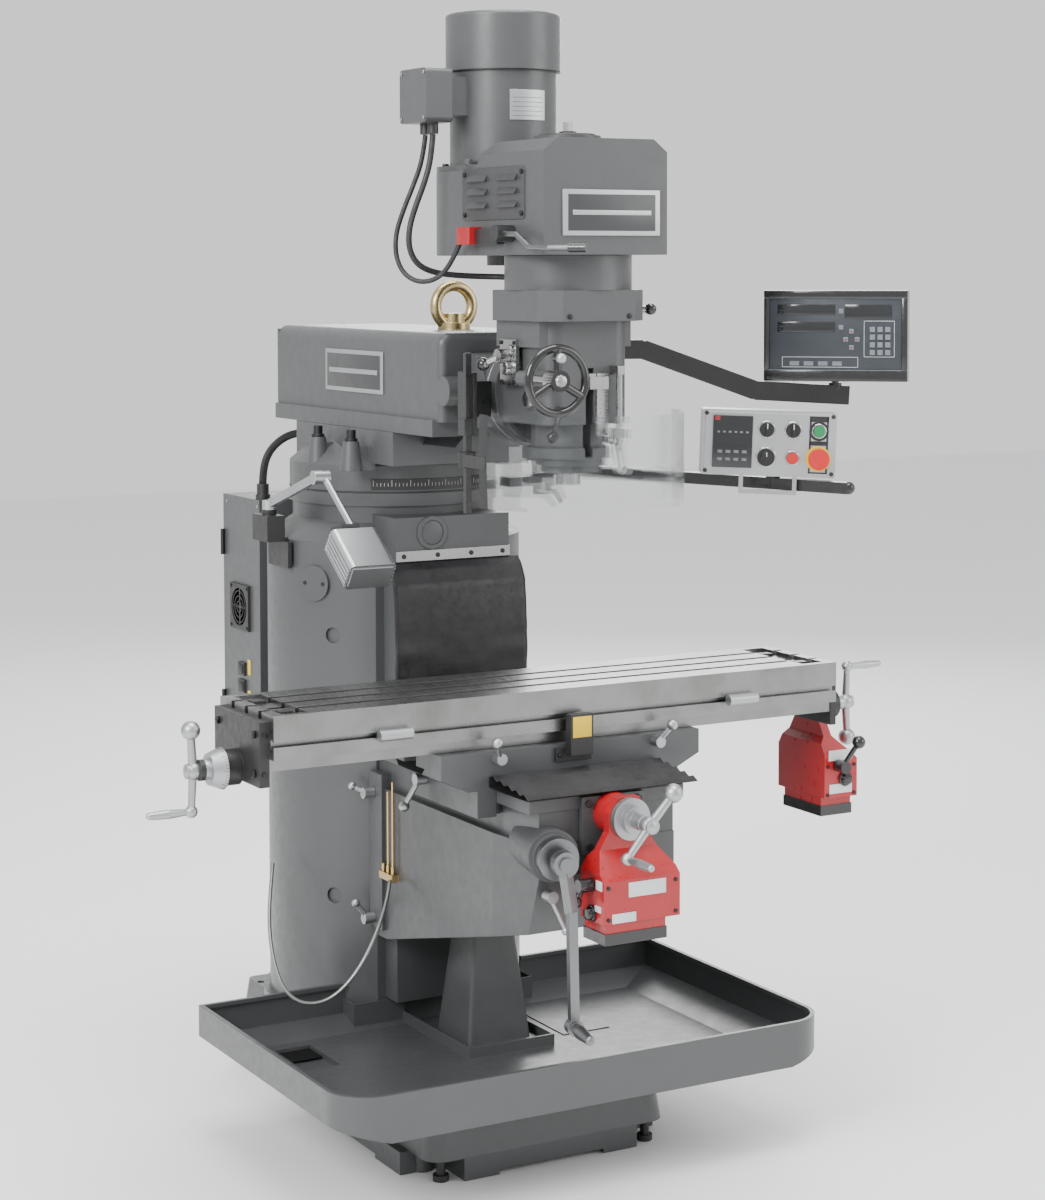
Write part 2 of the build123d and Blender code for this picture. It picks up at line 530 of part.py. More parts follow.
def drive_belt():
    """Wide belt that joins the spindle pulley to the motor pulley."""
    def race(r):
        straight = block(-r, r, SPINDLE_Y, MOTOR_Y, BELT_Z0, BELT_Z1)
        straight += rod((0, SPINDLE_Y, BELT_Z0), (0, SPINDLE_Y, BELT_Z1), r)
        return straight + rod((0, MOTOR_Y, BELT_Z0), (0, MOTOR_Y, BELT_Z1), r)

    return [race(PULLEY_R + 10) - race(PULLEY_R + 0.5)]


def drive_motor():
    plate = block(-118, 118, MOTOR_Y - 118, MOTOR_Y + 112, 1985, 1997)
    plate = fillet(plate.edges().filter_by(Axis.Z), 60)
    plate += rod((-112, MOTOR_Y - 60, 1997), (-112, MOTOR_Y - 60, 2008), 8)
    body = rod((0, MOTOR_Y, 1997), (0, MOTOR_Y, 2187), 108.5)
    cowl = rod((0, MOTOR_Y, 2187), (0, MOTOR_Y, 2303), 116.5)
    cowl = fillet(cowl.edges().group_by(Axis.Z)[-1], 8)
    neck = block(-150, -100, MOTOR_Y - 40, MOTOR_Y + 40, 2095, 2172)
    box = block(-205, -146, MOTOR_Y - 58, MOTOR_Y + 58, 2080, 2187)
    box = fillet(box.edges().filter_by(Axis.X), 10)
    glands = []
    for y in (MOTOR_Y - 30, MOTOR_Y + 2):
        glands.append(rod((-176, y, 2080), (-176, y, 2058), 11))
    socket = rod((0, MOTOR_Y, 1984), (0, MOTOR_Y, 2060), 14.5)
    return [plate + body - socket, cowl, neck + box - body] + glands


def motor_pulley():
    shaft = rod((0, MOTOR_Y, 1850), (0, MOTOR_Y, 2055), 14)
    return [shaft + pulley(MOTOR_Y, 13)]


MOTOR_CABLE = [(-176, -341, 2057), (-180, -341, 2010), (-194, -340, 1962), (-214, -338, 1914),
               (-228, -336, 1868), (-226, -334, 1826), (-204, -332, 1796), (-164, -331, 1782),
               (-112, -334, 1777), (-62, -348, 1775), (-28, -386, 1774), (-14, -438, 1772)]
SWITCH_CABLE = [(-176, -309, 2057), (-181, -306, 2008), (-200, -303, 1958), (-222, -301, 1908),
                (-239, -300, 1860), (-240, -302, 1816), (-230, -314, 1782), (-210, -338, 1764),
                (-186, -368, 1768), (-166, -394, 1796), (-154, -411, 1840)]


# ---------------------------------------------------------------- spindle group and hand controls on the head
def quill():
    tube = rod((0, SPINDLE_Y, 1395.5), (0, SPINDLE_Y, 1636), QUILL_R)
    tube -= rod((0, SPINDLE_Y, 1390), (0, SPINDLE_Y, 1640), 34)
    stop_block = block(-8.4, 8.4, -662, SPINDLE_Y - 38, 1560, 1590)
    stop_block += block(-8.4, 33, -668, -658, 1560, 1584)
    return [tube + stop_block]


def spindle():
    shaft = rod((0, SPINDLE_Y, NOSE_Z), (0, SPINDLE_Y, 1395), NOSE_R)
    shaft += rod((0, SPINDLE_Y, 1395), (0, SPINDLE_Y, 1640), 33.5)
    shaft += rod((0, SPINDLE_Y, 1640), (0, SPINDLE_Y, 1835), 20)
    shaft -= rod((0, SPINDLE_Y, NOSE_Z), (0, SPINDLE_Y, NOSE_Z + 24), 15.88, BORE_R)
    shaft -= rod((0, SPINDLE_Y, NOSE_Z), (0, SPINDLE_Y, NOSE_Z + BORE_DEPTH), BORE_R)
    drawbar = rod((0, SPINDLE_Y, NOSE_Z + BORE_DEPTH + 2), (0, SPINDLE_Y, 2066), 6.5)
    drawbar += prism_z([(11 * cos(radians(60 * k)), SPINDLE_Y + 11 * sin(radians(60 * k))) for k in range(6)],
                       2056, 2074)
    shaft -= rod((0, SPINDLE_Y, NOSE_Z + 90), (0, SPINDLE_Y, 1840), 6.6)
    return [shaft, drawbar]


def spindle_pulley():
    """Pulley with the long splined sleeve that the spindle slides through."""
    sleeve = ring((0, SPINDLE_Y, 1695), (0, SPINDLE_Y, BELT_Z1 + 6), 30, 20.5)
    return [pulley(SPINDLE_Y, 29) + sleeve]


def feed_handwheel():
    x, y, z = WHEEL
    plane = Plane(origin=(x, y, z), z_dir=(0, -1, 0))
    rim = plane * Torus(61, 8)
    hub = rod((x, y + 22, z), (x, y - 14, z), 20)
    body = rim + hub
    for k in range(3):
        a = radians(90 + 120 * k)
        body += rod((x, y, z), (x + 60 * cos(a), y, z + 60 * sin(a)), 8)
    grip_a = radians(100)
    gx, gz = x + 44 * cos(grip_a), z + 44 * sin(grip_a)
    grip = rod((gx, y, gz), (gx, y - 22, gz), 5) + ball((gx, y - 28, gz), 10)
    shaft = rod((x, y + 22, z), (x, -600, z), 8)
    return [body + grip + shaft]


def backgear_lever():
    start = (124.5, SPINDLE_Y, 1711)
    return [rod(start, (136, SPINDLE_Y, 1711), 16)
            + rod((134, SPINDLE_Y, 1711), (168, -594, 1711), 8)
            + ball((172, -597, 1711), 12)]


def speed_lever():
    hub = rod((-HOUSING_X - 1, -592, 1858), (-HOUSING_X - 40, -592, 1858), 16)
    points = [(-160, -592, 1858), (-160, -650, 1856), (-160, -700, 1832), (-152, -760, 1830), (-126, -800, 1830)]
    body = hub
    for a, b in zip(points, points[1:]):
        body += rod(a, b, 5.5) + ball(b, 5.5)
    return [body + rod((-130, -796, 1830), (-108, -822, 1830), 9)]


def quill_lock_lever():
    stem = rod((69, -600, 1457), (81, -600, 1457), 6)
    return [stem + knob_lever((80.5, -600, 1457), (1, 0, 0), (98, -610, 1398), 10, 5, 10, 22)]


def feed_trip_lever():
    return [knob_lever((-72, -653, 1520), (0, -1, 0), (-104, -690, 1472), 9, 4, 11, 22)]


def feed_lever():
    return [knob_lever((-112.5, -530, 1622), (-1, 0, 0), (-150, -500, 1606), 14, 6, 13, 24)]


GUARD_R = 215


def guard_shield():
    """Clear curved screen that hangs from the post and swings about it."""
    x, y = 20, -560
    z0, z1 = 1333, 1513
    shell = ring((x, y, z0), (x, y, z1), GUARD_R, GUARD_R - 3)
    shell &= block(-200, 300, -800, -566, z0, z1) + block(150, 300, -800, -490, z0, z1)
    strap = bar((POST_X - 14, POST_Y - 8, 1420), (-193.5, -590, 1420), 5, 24)
    sleeve = ring((POST_X, POST_Y, 1405), (POST_X, POST_Y, 1435), 18, 12)
    hole = rod((POST_X, POST_Y, 1400), (POST_X, POST_Y, 1440), 12)
    return [shell + strap + sleeve - hole]


# ---------------------------------------------------------------- arms, display and control panel
DRO_BASE = (186, -250)
DRO_DIRECTION = (0.921, -0.388)
DRO_CENTRE = (695, -500, 1648)
DRO_TURN = 44
DRO_STEM = 572
RAIL_BASE = (243, -41)
RAIL_DIRECTION = (0.64, -0.768)
RAIL_Z, RAIL_DROP, RAIL_LENGTH = 1357, 0.0367, 682
PANEL_CENTRE = (540, -477, 1425)
PANEL_TURN, PANEL_ROLL = 29, 2.1
PANEL_WIDE, PANEL_TALL, PANEL_DEEP = 280, 137, 64
PANEL_PIVOT = (575.8, -440.4, 1352)


def along(base, direction, s, z):
    return (base[0] + direction[0] * s, base[1] + direction[1] * s, z)


def dro_arm():
    pivot = rod((DRO_BASE[0], DRO_BASE[1], 1587), (DRO_BASE[0], DRO_BASE[1], 1643), 15)
    start = along(DRO_BASE, DRO_DIRECTION, 0, 1621)
    knee_a = along(DRO_BASE, DRO_DIRECTION, 158, 1621)
    knee_b = along(DRO_BASE, DRO_DIRECTION, 398, 1533)
    end = along(DRO_BASE, DRO_DIRECTION, 600, 1521)
    body = pivot + bar(start, knee_a, 25, 40)
    body += bar(knee_a, knee_b, 25, 40) + bar(knee_b, end, 25, 40)
    for p in (knee_a, knee_b):
        side = (-DRO_DIRECTION[1] * 12.5, DRO_DIRECTION[0] * 12.5)
        body += rod((p[0] - side[0], p[1] - side[1], p[2]), (p[0] + side[0], p[1] + side[1], p[2]), 18)
    stem = rod(along(DRO_BASE, DRO_DIRECTION, DRO_STEM, 1535), along(DRO_BASE, DRO_DIRECTION, DRO_STEM, 1548), 14)
    return [body + stem]


def facing(centre, turn, roll=0.0):
    """Local frame whose +Z is the panel normal, turned left of straight ahead, and +Y is up."""
    a, r = radians(turn), radians(roll)
    x_dir = (cos(a) * cos(r), -sin(a) * cos(r), -sin(r))
    return Plane(origin=centre, x_dir=x_dir, z_dir=(-sin(a), -cos(a), 0))


def dro_console():
    frame = facing(DRO_CENTRE, DRO_TURN)
    case = frame * Box(300, 189, 42)
    case = fillet(case.edges().filter_by(Axis(origin=(0, 0, 0), direction=tuple(frame.z_dir))), 5)
    case -= frame * Pos(0, 4, 20) * Box(278, 150, 6)
    panel = frame * Pos(0, 4, 17.5) * Box(278, 150, 1)
    keys = []
    for row in range(4):
        for column in range(3):
            keys.append(frame * Pos(78 + 16 * column, -34 + 16 * row, 19.5) * Box(11, 11, 3))
    for k in range(4):
        keys.append(frame * Pos(-86 + 30 * k, -58, 19) * Box(20, 9, 2))
    x, y = along(DRO_BASE, DRO_DIRECTION, DRO_STEM, 0)[:2]
    stem = rod((x, y, 1548.5), (x, y, 1570), 8) - frame * Box(300, 189, 42)
    return [case, panel, stem] + keys


def dro_bracket():
    """Clamp block on the ram's right side that carries the display arm."""
    x, y = DRO_BASE
    body = block(RAM_X - 8, 178, y - 30, y + 30, 1557, 1586)
    return body + rod((x, y, 1557), (x, y, 1586.5), 20)


def pendant_bracket():
    x, y = RAIL_BASE
    body = block(150, x, y - 22, y + 22, 1320, 1340) - rod((0, TURRET_Y, 1300), (0, TURRET_Y, 1400), SEAT_R - 1)
    return body + rod((x, y, 1318), (x, y, 1342), 26) - rod((x, y, 1310), (x, y, 1350), 15.4)


def pendant_arm():
    x, y = RAIL_BASE
    pivot = rod((x, y, 1300), (x, y, 1350), 15)
    cap = rod((x, y, 1342.5), (x, y, 1372), 22)
    foot = rod((x, y, 1300), (x, y, 1317.5), 20)
    end = along(RAIL_BASE, RAIL_DIRECTION, RAIL_LENGTH, RAIL_Z - RAIL_DROP * RAIL_LENGTH)
    rail = bar((x, y, RAIL_Z), end, 28, 24) + ball(end, 14)
    lever = rod((x, y, 1308), (x + 18, y - 30, 1304), 6) + rod((x + 18, y - 30, 1304), (x + 26, y - 40, 1282), 7, 5)
    lever -= foot
    px, py, _ = PANEL_PIVOT
    boss = rod((px, py, 1335), PANEL_PIVOT, 15)
    return [pivot + cap + foot + rail + boss, lever]


def panel_place(u, v, w):
    return facing(PANEL_CENTRE, PANEL_TURN, PANEL_ROLL) * Pos(u, v, w)


PANEL_STATIONS = {
    "left_selector": (-6, 29), "right_selector": (49, 29), "speed_dial": (-6, -29),
    "stop_button": (49, -29), "start_button": (103, 29), "estop_button": (103, -29),
}


def control_panel():
    case = panel_place(0, 0, -PANEL_DEEP / 2) * Box(PANEL_WIDE, PANEL_TALL, PANEL_DEEP)
    frame = facing(PANEL_CENTRE, PANEL_TURN, PANEL_ROLL)
    case = fillet(case.edges().filter_by(Axis(origin=(0, 0, 0), direction=tuple(frame.z_dir))), 5)
    case -= panel_place(0, 0, -PANEL_DEEP / 2) * Box(PANEL_WIDE - 6, PANEL_TALL - 6, PANEL_DEEP - 6)
    plate = panel_place(0, 0, 0.75) * Box(PANEL_WIDE - 10, PANEL_TALL - 10, 1.5)
    display = panel_place(-77, 2, 4) * Box(82, 108, 5)
    grip = panel_place(0, -102, -4) * Box(121, 9, 9)
    for u in (-56, 56):
        grip += panel_place(u, -86, -4) * Box(9, 38, 9)
    px, py, pz = PANEL_PIVOT
    clamp = rod((px, py, pz + GAP), (px, py, pz + 8), 14)
    for u, v in PANEL_STATIONS.values():
        bore = panel_place(u, v, 0) * Cylinder(6.6, 20)
        case -= bore
        plate -= bore
    return [case + grip + clamp, plate, display]


def button(name, head_r, head_h, travel):
    u, v = PANEL_STATIONS[name]
    stem = panel_place(u, v, -6) * Cylinder(6, 18 + 2 * travel)
    head = panel_place(u, v, 1.5 + travel + GAP + head_h / 2) * Cylinder(head_r, head_h)
    return [stem + head]


def selector(name, r):
    u, v = PANEL_STATIONS[name]
    stem = panel_place(u, v, -2) * Cylinder(6, 18)
    skirt = panel_place(u, v, 1.9 + 3) * Cylinder(r, 6)
    wing = panel_place(u, v, 1.9 + 10) * Box(6, 1.8 * r, 10)
    return [stem + skirt + wing]


def speed_dial():
    u, v = PANEL_STATIONS["speed_dial"]
    stem = panel_place(u, v, -2) * Cylinder(6, 18)
    skirt = panel_place(u, v, 1.9 + 2) * Cylinder(18, 4)
    knob = panel_place(u, v, 1.9 + 10) * Cylinder(12, 14)
    return [stem + skirt + knob]


# ---------------------------------------------------------------- knee
def crank_point(s, dx=0, dz=0):
    """Point s along the crank shaft's axis, moved dx across it and dz up."""
    a = radians(CRANK_TURN)
    x, y, z = CRANK_AXIS
    return (x - sin(a) * s + cos(a) * dx, y - cos(a) * s - sin(a) * dx, z + dz)


def knee_casting():
    lower = prism_x([(COLUMN_FACE - 1, 381), (-93, 381), (-683, 526), (KNEE_FRONT, 640), (KNEE_FRONT, 700),
                     (COLUMN_FACE - 1, 700)], -KNEE_X, KNEE_X)
    taper = prism_z([(-KNEE_X, 20), (KNEE_X, 20), (KNEE_X, -560), (151, KNEE_FRONT), (-151, KNEE_FRONT),
                     (-KNEE_X, -560)], 300, 820)
    lower &= taper
    upper = block(-150, 150, KNEE_FRONT + 2, COLUMN_FACE - 1, 690, KNEE_TOP - 24)
    rail = block(-RAIL_X, RAIL_X, KNEE_FRONT - 1, COLUMN_FACE - 1, KNEE_TOP - 25, KNEE_TOP)
    body = lower + upper + rail
    body -= prism_x([(-110, 380), (-665, 545), (-690, 640), (-690, 748), (-110, 748)], -138, 138)
    body -= block(-60, 60, -640, -140, 740, KNEE_TOP + 1)
    body -= prism_x([(-130, 300), (-300, 300), (-300, 470), (-130, 470)], -95, 95)
    body -= block(-WAY_X - 1, WAY_X + 1, WAY_FACE - 0.5, 20, 370, KNEE_TOP + 1)
    for side in (-1, 1):
        x0, x1 = sorted((side * (WAY_X + 1), side * (RAIL_X + 2)))
        body += block(x0, x1, -90, COLUMN_FACE - 1, 400, 730)
        x0, x1 = sorted((side * KNEE_X, side * (KNEE_X + 6)))
        body += block(x0, x1, -70, COLUMN_FACE - 1, 400, 720)
    boss = rod(crank_point(-90), crank_point(36), 50)
    boss -= block(-138, 138, -690, -200, 545, 748)
    body += boss
    body -= rod(crank_point(-100), crank_point(60), 14.4)
    body -= rod((0, -730, Y_SCREW_Z), (0, -600, Y_SCREW_Z), 20)
    bright_ring = ring(crank_point(36), crank_point(46), 43, 14.4)
    plate = block(-64, 74, KNEE_FRONT - 13, KNEE_FRONT - 1, 680, 789)
    plate -= rod((0, -740, Y_SCREW_Z), (0, -700, Y_SCREW_Z), 20)
    bolts = []
    for x in (-50, 60):
        for z in (694, 776):
            bolts.append(rod((x, KNEE_FRONT - 13, z), (x, KNEE_FRONT - 20, z), 7))
    manifold = block(-KNEE_X - 16, -KNEE_X, -150, -90, 515, 530)
    for y in (-140, -118, -96):
        manifold += rod((-KNEE_X - 8, y, 530), (-KNEE_X - 8, y, 545), 4)
    pipes = []
    for y, top in ((-140, 724), (-118, 700)):
        pipes.append(rod((-KNEE_X - 8, y, 545), (-KNEE_X - 8, y, top), 2.5))
    return [body, bright_ring, plate, manifold] + bolts + pipes


def front_way_cover():
    """Folded front way cover between the saddle and the knee's front edge."""
    outline = [(SADDLE_FRONT - 1, 822), (-736, 804), (-744, 801), (-742, 797.5), (-640, 795),
               (SADDLE_FRONT - 1, 800)]
    return [prism_x(outline, -190, 190)]


def knee_crank():
    shaft = rod(crank_point(-80), crank_point(118), 14)
    hub = rod(crank_point(86), crank_point(112), 24)
    dial = rod(crank_point(47), crank_point(68), 40)
    arm_top = crank_point(99)
    arm_end = crank_point(112, 14, -CRANK_LENGTH)
    arm = bar(arm_top, crank_point(112, 10, -90), 22, 17)
    arm += bar(crank_point(112, 10, -86), arm_end, 20, 17)
    eye = rod(crank_point(102, 14, -CRANK_LENGTH), crank_point(124, 14, -CRANK_LENGTH), 16)
    grip = rod(crank_point(124, 14, -CRANK_LENGTH), crank_point(150, 14, -CRANK_LENGTH), 10, 13)
    grip += rod(crank_point(150, 14, -CRANK_LENGTH), crank_point(200, 14, -CRANK_LENGTH), 13, 9)
    grip += ball(crank_point(200, 14, -CRANK_LENGTH), 9)
    return [shaft + hub + arm + eye + dial, grip]


def elevating_screw():
    screw = rod((0, SCREW_Y, 125), (0, SCREW_Y, 700), SCREW_R)
    gear = rod((0, SCREW_Y, 700), (0, SCREW_Y, 735), 60, 40)
    return [screw + gear]


LUBE_HOSE = [(-186, -152, 521), (-200, -174, 504), (-222, -196, 468), (-252, -212, 420),
             (-286, -220, 372), (-322, -216, 330), (-358, -196, 300), (-388, -150, 290),
             (-400, -90, 305), (-396, -30, 345), (-380, 30, 400), (-352, 90, 458), (-318, 150, 510)]


def lock_lever_x(y, z, end):
    return [knob_lever((-RAIL_X - 2.5, y, z), (-1, 0, 0), end, 12, 5, 9, 24)]


# ---------------------------------------------------------------- saddle
def saddle_casting():
    slab = block(-SADDLE_X, SADDLE_X, SADDLE_FRONT, SADDLE_BACK, 818, SADDLE_TOP)
    wings = prism_y([(-SADDLE_X, 818.5), (-235, 791), (235, 791), (SADDLE_X, 818.5)], SADDLE_FRONT, SADDLE_BACK)
    body = slab + wings
    body -= block(-SADDLE_X - 1, SADDLE_X + 1, TABLE_Y - 26, TABLE_Y + 26, 828, SADDLE_TOP + 1)
    dovetail = [(TABLE_Y - 62, SADDLE_TOP - 1), (TABLE_Y - 72, 887), (TABLE_Y + 72, 887),
                (TABLE_Y + 62, SADDLE_TOP - 1)]
    body += prism_x(dovetail, -210, 210) - block(-300, 300, TABLE_Y - 26, TABLE_Y + 26, 820, 900)
    for side in (-1, 1):
        x0, x1 = sorted((side * (RAIL_X + GAP), side * (RAIL_X + 42)))
        body += block(x0, x1, SADDLE_FRONT, SADDLE_BACK, 738, 800)
        x0, x1 = sorted((side * 153, side * (RAIL_X + 20)))
        body += block(x0, x1, SADDLE_FRONT + 20, SADDLE_BACK - 20, 738, KNEE_TOP - 25.5)
        notch = prism_x([(TABLE_Y - 62, 830), (TABLE_Y - 30, 798), (TABLE_Y + 30, 798), (TABLE_Y + 62, 830)],
                        min(side * 240, side * 300), max(side * 240, side * 300))
        body -= notch
    nut = ring((-30, TABLE_Y, X_SCREW_Z), (30, TABLE_Y, X_SCREW_Z), 25, 16.4)
    nut += block(-30, 30, TABLE_Y - 20, TABLE_Y + 20, 826, 843) - rod((-40, TABLE_Y, X_SCREW_Z),
                                                                     (40, TABLE_Y, X_SCREW_Z), 16.4)
    for side in (-1, 1):
        x = side * 187 if side > 0 else -172
        body -= rod((x, SADDLE_FRONT - 1, 852), (x, SADDLE_FRONT + 30, 852), 6.5)
    stop = block(-44, 36, SADDLE_FRONT - 8, SADDLE_FRONT, 832, 858)
    stop += block(-22, 28, SADDLE_FRONT - 28, SADDLE_FRONT - 8, 845, 925)
    return [body, nut, stop]


def table_lock(x, end):
    hub = knob_lever((x, SADDLE_FRONT - 0.5, 852), (0, -1, 0), end, 11, 5, 11, 24)
    return [hub + rod((x, SADDLE_FRONT + 25, 852), (x, SADDLE_FRONT - 2, 852), 6)]


def saddle_lock():
    return [knob_lever((-RAIL_X - 42.5, -372, 778), (-1, 0, 0), (-252, -352, 722), 12, 5, 11, 24)]


# ---------------------------------------------------------------- table and its drive
def table():
    half = TABLE_LENGTH / 2
    body = block(-half, half, TABLE_FRONT, TABLE_FRONT + TABLE_WIDTH, TABLE_UNDER, TABLE_TOP)
    for k in (-1, 0, 1):
        y = TABLE_Y + k * SLOT_PITCH
        body -= block(-half - 1, half + 1, y - SLOT_WIDTH / 2, y + SLOT_WIDTH / 2, TABLE_TOP - 18, TABLE_TOP + 1)
        body -= block(-half - 1, half + 1, y - 14, y + 14, TABLE_TOP - 30, TABLE_TOP - 18)
    for side in (-1, 1):
        x0, x1 = sorted((side * 560, side * 612))
        body -= block(x0, x1, TABLE_FRONT + 16, TABLE_FRONT + TABLE_WIDTH - 16, TABLE_TOP - 9, TABLE_TOP + 1)
    body -= block(-half - 1, half + 1, TABLE_FRONT - 1, TABLE_FRONT + 8, 914, 924)
    body -= block(-half - 1, half + 1, TABLE_FRONT + 6, TABLE_FRONT + 14, 910, 928)
    skirts = block(-half, half, TABLE_FRONT + 22, TABLE_FRONT + TABLE_WIDTH - 22, SADDLE_TOP + 0.5, TABLE_UNDER)
    female = [(TABLE_Y - 63.5, SADDLE_TOP), (TABLE_Y - 73.5, 888), (TABLE_Y + 73.5, 888),
              (TABLE_Y + 63.5, SADDLE_TOP)]
    skirts -= prism_x(female, -half - 1, half + 1)
    body += skirts
    pieces = [body]
    for side in (-1, 1):
        thick = 20 if side < 0 else 14
        x0, x1 = sorted((side * half, side * (half + thick)))
        bracket = block(x0, x1, TABLE_FRONT + 20, TABLE_FRONT + TABLE_WIDTH - 20, 838, 960)
        if side < 0:
            bracket += rod((-half - thick, TABLE_Y, X_SCREW_Z), (-half - 50, TABLE_Y, X_SCREW_Z), 34)
        else:
            bracket += rod((half + 39, TABLE_Y, X_SCREW_Z), (half + 84, TABLE_Y, X_SCREW_Z), 30)
        bracket -= rod((side * (half - 1), TABLE_Y, X_SCREW_Z), (side * (half + 90), TABLE_Y, X_SCREW_Z), 13.5)
        pieces.append(bracket)
    for x in (-392, 392):
        dog = block(x - 9, x + 9, TABLE_FRONT + 7, TABLE_FRONT + 13, 912, 926)
        dog += block(x - 9, x + 9, TABLE_FRONT - 8, TABLE_FRONT + 7, 915, 923)
        dog += rod((x - 34, TABLE_FRONT - 12, 919), (x + 34, TABLE_FRONT - 12, 919), 11)
        pieces.append(dog)
    for side in (-1, 1):
        x0, x1 = sorted((side * 572, side * 600))
        for k in (-1, 1):
            y = TABLE_Y + k * SLOT_PITCH
            pieces.append(block(x0, x1, y - 11, y + 11, TABLE_TOP - 9, TABLE_TOP - 3))
    return pieces


def ball_crank(origin, axis, level, turn, big_side=1):
    """Two-armed ball handle on a screw end: hub, two arms, big ball, small ball and a grip."""
    frame = Plane(origin=origin, x_dir=level, z_dir=axis)
    a = radians(turn)
    u = (cos(a), sin(a))
    hub = frame * ball((0, 0, 0), 17) + frame * rod((0, 0, -20), (0, 0, 14), 14)
    big = (u[0] * CRANK_RADIUS * big_side, u[1] * CRANK_RADIUS * big_side, 4)
    small = (-big[0], -big[1], 4)
    body = hub + frame * rod((0, 0, 0), big, 9, 7) + frame * rod((0, 0, 0), small, 8, 6.5)
    body += frame * ball(big, 18) + frame * ball(small, 12)
    grip = frame * rod((small[0], small[1], 12), (small[0], small[1], 50), 6, 9)
    grip += frame * rod((small[0], small[1], 50), (small[0], small[1], 86), 9, 7)
    grip += frame * ball((small[0], small[1], 86), 7)
    return [body - grip, grip]


def x_screw():
    half = TABLE_LENGTH / 2
    y, z = TABLE_Y, X_SCREW_Z
    screw = rod((-half + 2, y, z), (half - 2, y, z), 16)
    screw += rod((-half - 96, y, z), (half + 110, y, z), 13)
    dial = rod((-half - 51, y, z), (-half - 78, y, z), 40, 30)
    dial += rod((-half - 78, y, z), (-half - 88, y, z), 20)
    right_nut = rod((half + 85, y, z), (half + 104, y, z), 15)
    left = ball_crank((-half - 108, y, z), (-1, 0, 0), (0, 0, 1), 0, 1)
    right = ball_crank((half + 118, y, z), (1, 0, 0), (0, 0, 1), 0, -1)
    return [screw + dial + right_nut + left[0] + right[0], left[1], right[1]]


FEED_HALF, FEED_DEEP, FEED_DROP = 84, 84, 184
NECK_BACK, NECK_FRONT = 13, 33


def feed_body(cap_x, bore):
    """Power feed in a local frame: shaft along Z, body hanging towards -Y, roof sloping to a thin neck."""
    bottom = -FEED_DROP
    outline = [(-FEED_HALF, bottom), (FEED_HALF, bottom), (FEED_HALF, -91), (42, -24), (42, 12),
               (24, 40), (-24, 40), (-42, 12), (-42, -24), (-FEED_HALF, -91)]
    body = extrude(make_face(Polyline(*outline, close=True)), FEED_DEEP)
    profile = [(0, bottom - 1), (FEED_DEEP, bottom - 1), (FEED_DEEP, -104), (NECK_FRONT, -56), (NECK_FRONT, 41),
               (NECK_BACK, 41), (NECK_BACK, -56), (0, -70)]
    plane = Plane(origin=(-100, 0, 0), x_dir=(0, 0, 1), z_dir=(-1, 0, 0))
    side = extrude(plane * make_face(Polyline(*profile, close=True)), -200)
    body &= side
    body -= Pos(0, 0, FEED_DEEP / 2) * Cylinder(bore, FEED_DEEP + 2)
    base = Pos(cap_x, bottom - 9, FEED_DEEP / 2) * Box(132, 18, FEED_DEEP - 8)
    cap = Pos(cap_x, bottom - 29, FEED_DEEP / 2) * Box(136, 22, FEED_DEEP - 4)
    return body + base, cap


X_FEED_BACK = TABLE_LENGTH / 2 + 3
X_FEED_Y = TABLE_Y
Y_FEED_BACK = -759


def x_power_feed():
    frame = Plane(origin=(X_FEED_BACK, X_FEED_Y, X_SCREW_Z), x_dir=(0, 1, 0), z_dir=(1, 0, 0))
    body, cap = feed_body(0, 16)
    return [frame * body, frame * cap]


def y_power_feed():
    frame = Plane(origin=(0, Y_FEED_BACK, Y_SCREW_Z), x_dir=(1, 0, 0), z_dir=(0, -1, 0))
    body, cap = feed_body(-12, 16)
    collar = ring((0, KNEE_FRONT - 13, Y_SCREW_Z), (0, Y_FEED_BACK - NECK_BACK, Y_SCREW_Z), 40, 16)
    return [frame * body, frame * cap, collar]


def x_feed_lever():
    return [knob_lever((672, X_FEED_Y - FEED_HALF - 0.5, 745), (0, -1, 0), (692, X_FEED_Y - 130, 800), 13, 5, 14, 30)]


def y_feed_lever():
    return [knob_lever((-FEED_HALF - 0.5, -800, 640), (-1, 0, 0), (-118, -797, 610), 13, 5, 12, 30)]


def y_screw():
    z = Y_SCREW_Z
    neck_front = Y_FEED_BACK - NECK_FRONT
    screw = rod((0, -250, z), (0, -735, z), 12.5)
    shaft = rod((0, -735, z), (0, -850, z), 12.5)
    dial = rod((0, neck_front - 1, z), (0, neck_front - 16, z), 40)
    dial += rod((0, neck_front - 16, z), (0, neck_front - 30, z), 26)
    nut = rod((0, neck_front - 30, z), (0, -852, z), 15)
    crank = ball_crank((0, -868, z), (0, -1, 0), (1, 0, 0), 48, 1)
    return [screw + shaft + dial + nut + crank[0], crank[1]]


# ---------------------------------------------------------------- write every part
save("base_casting", *base_casting(), *screw_pedestal())
save("chip_tray", *chip_tray())
save("column_casting", *column_casting(), *lamp_bracket())
save("rear_way_cover", *rear_way_cover())
save("cabinet_case", *cabinet_case())
save("cabinet_door", *cabinet_door())
save("cabinet_hose", cord_tube(HOSE_ROUTE, 9))
save("lamp_arm", *lamp_arm())
save("lamp_rod", *lamp_rod())
save("lamp_head", *lamp_head())
turret_pieces = turret_saddle()
save("turret_saddle", turret_pieces[0] + pendant_bracket(), *turret_pieces[1:])
ram_pieces = ram_casting()
save("ram_casting", *ram_pieces, dro_bracket() - ram_pieces[0])
save("head_knuckle", *head_knuckle())
save("head_casting", *head_casting(), *head_fittings())
save("gear_housing", *gear_housing())
save("belt_housing", *belt_housing())
save("drive_belt", *drive_belt())
save("drive_motor", *drive_motor())
save("motor_pulley", *motor_pulley())
save("motor_cable", cord_tube(MOTOR_CABLE, 6))
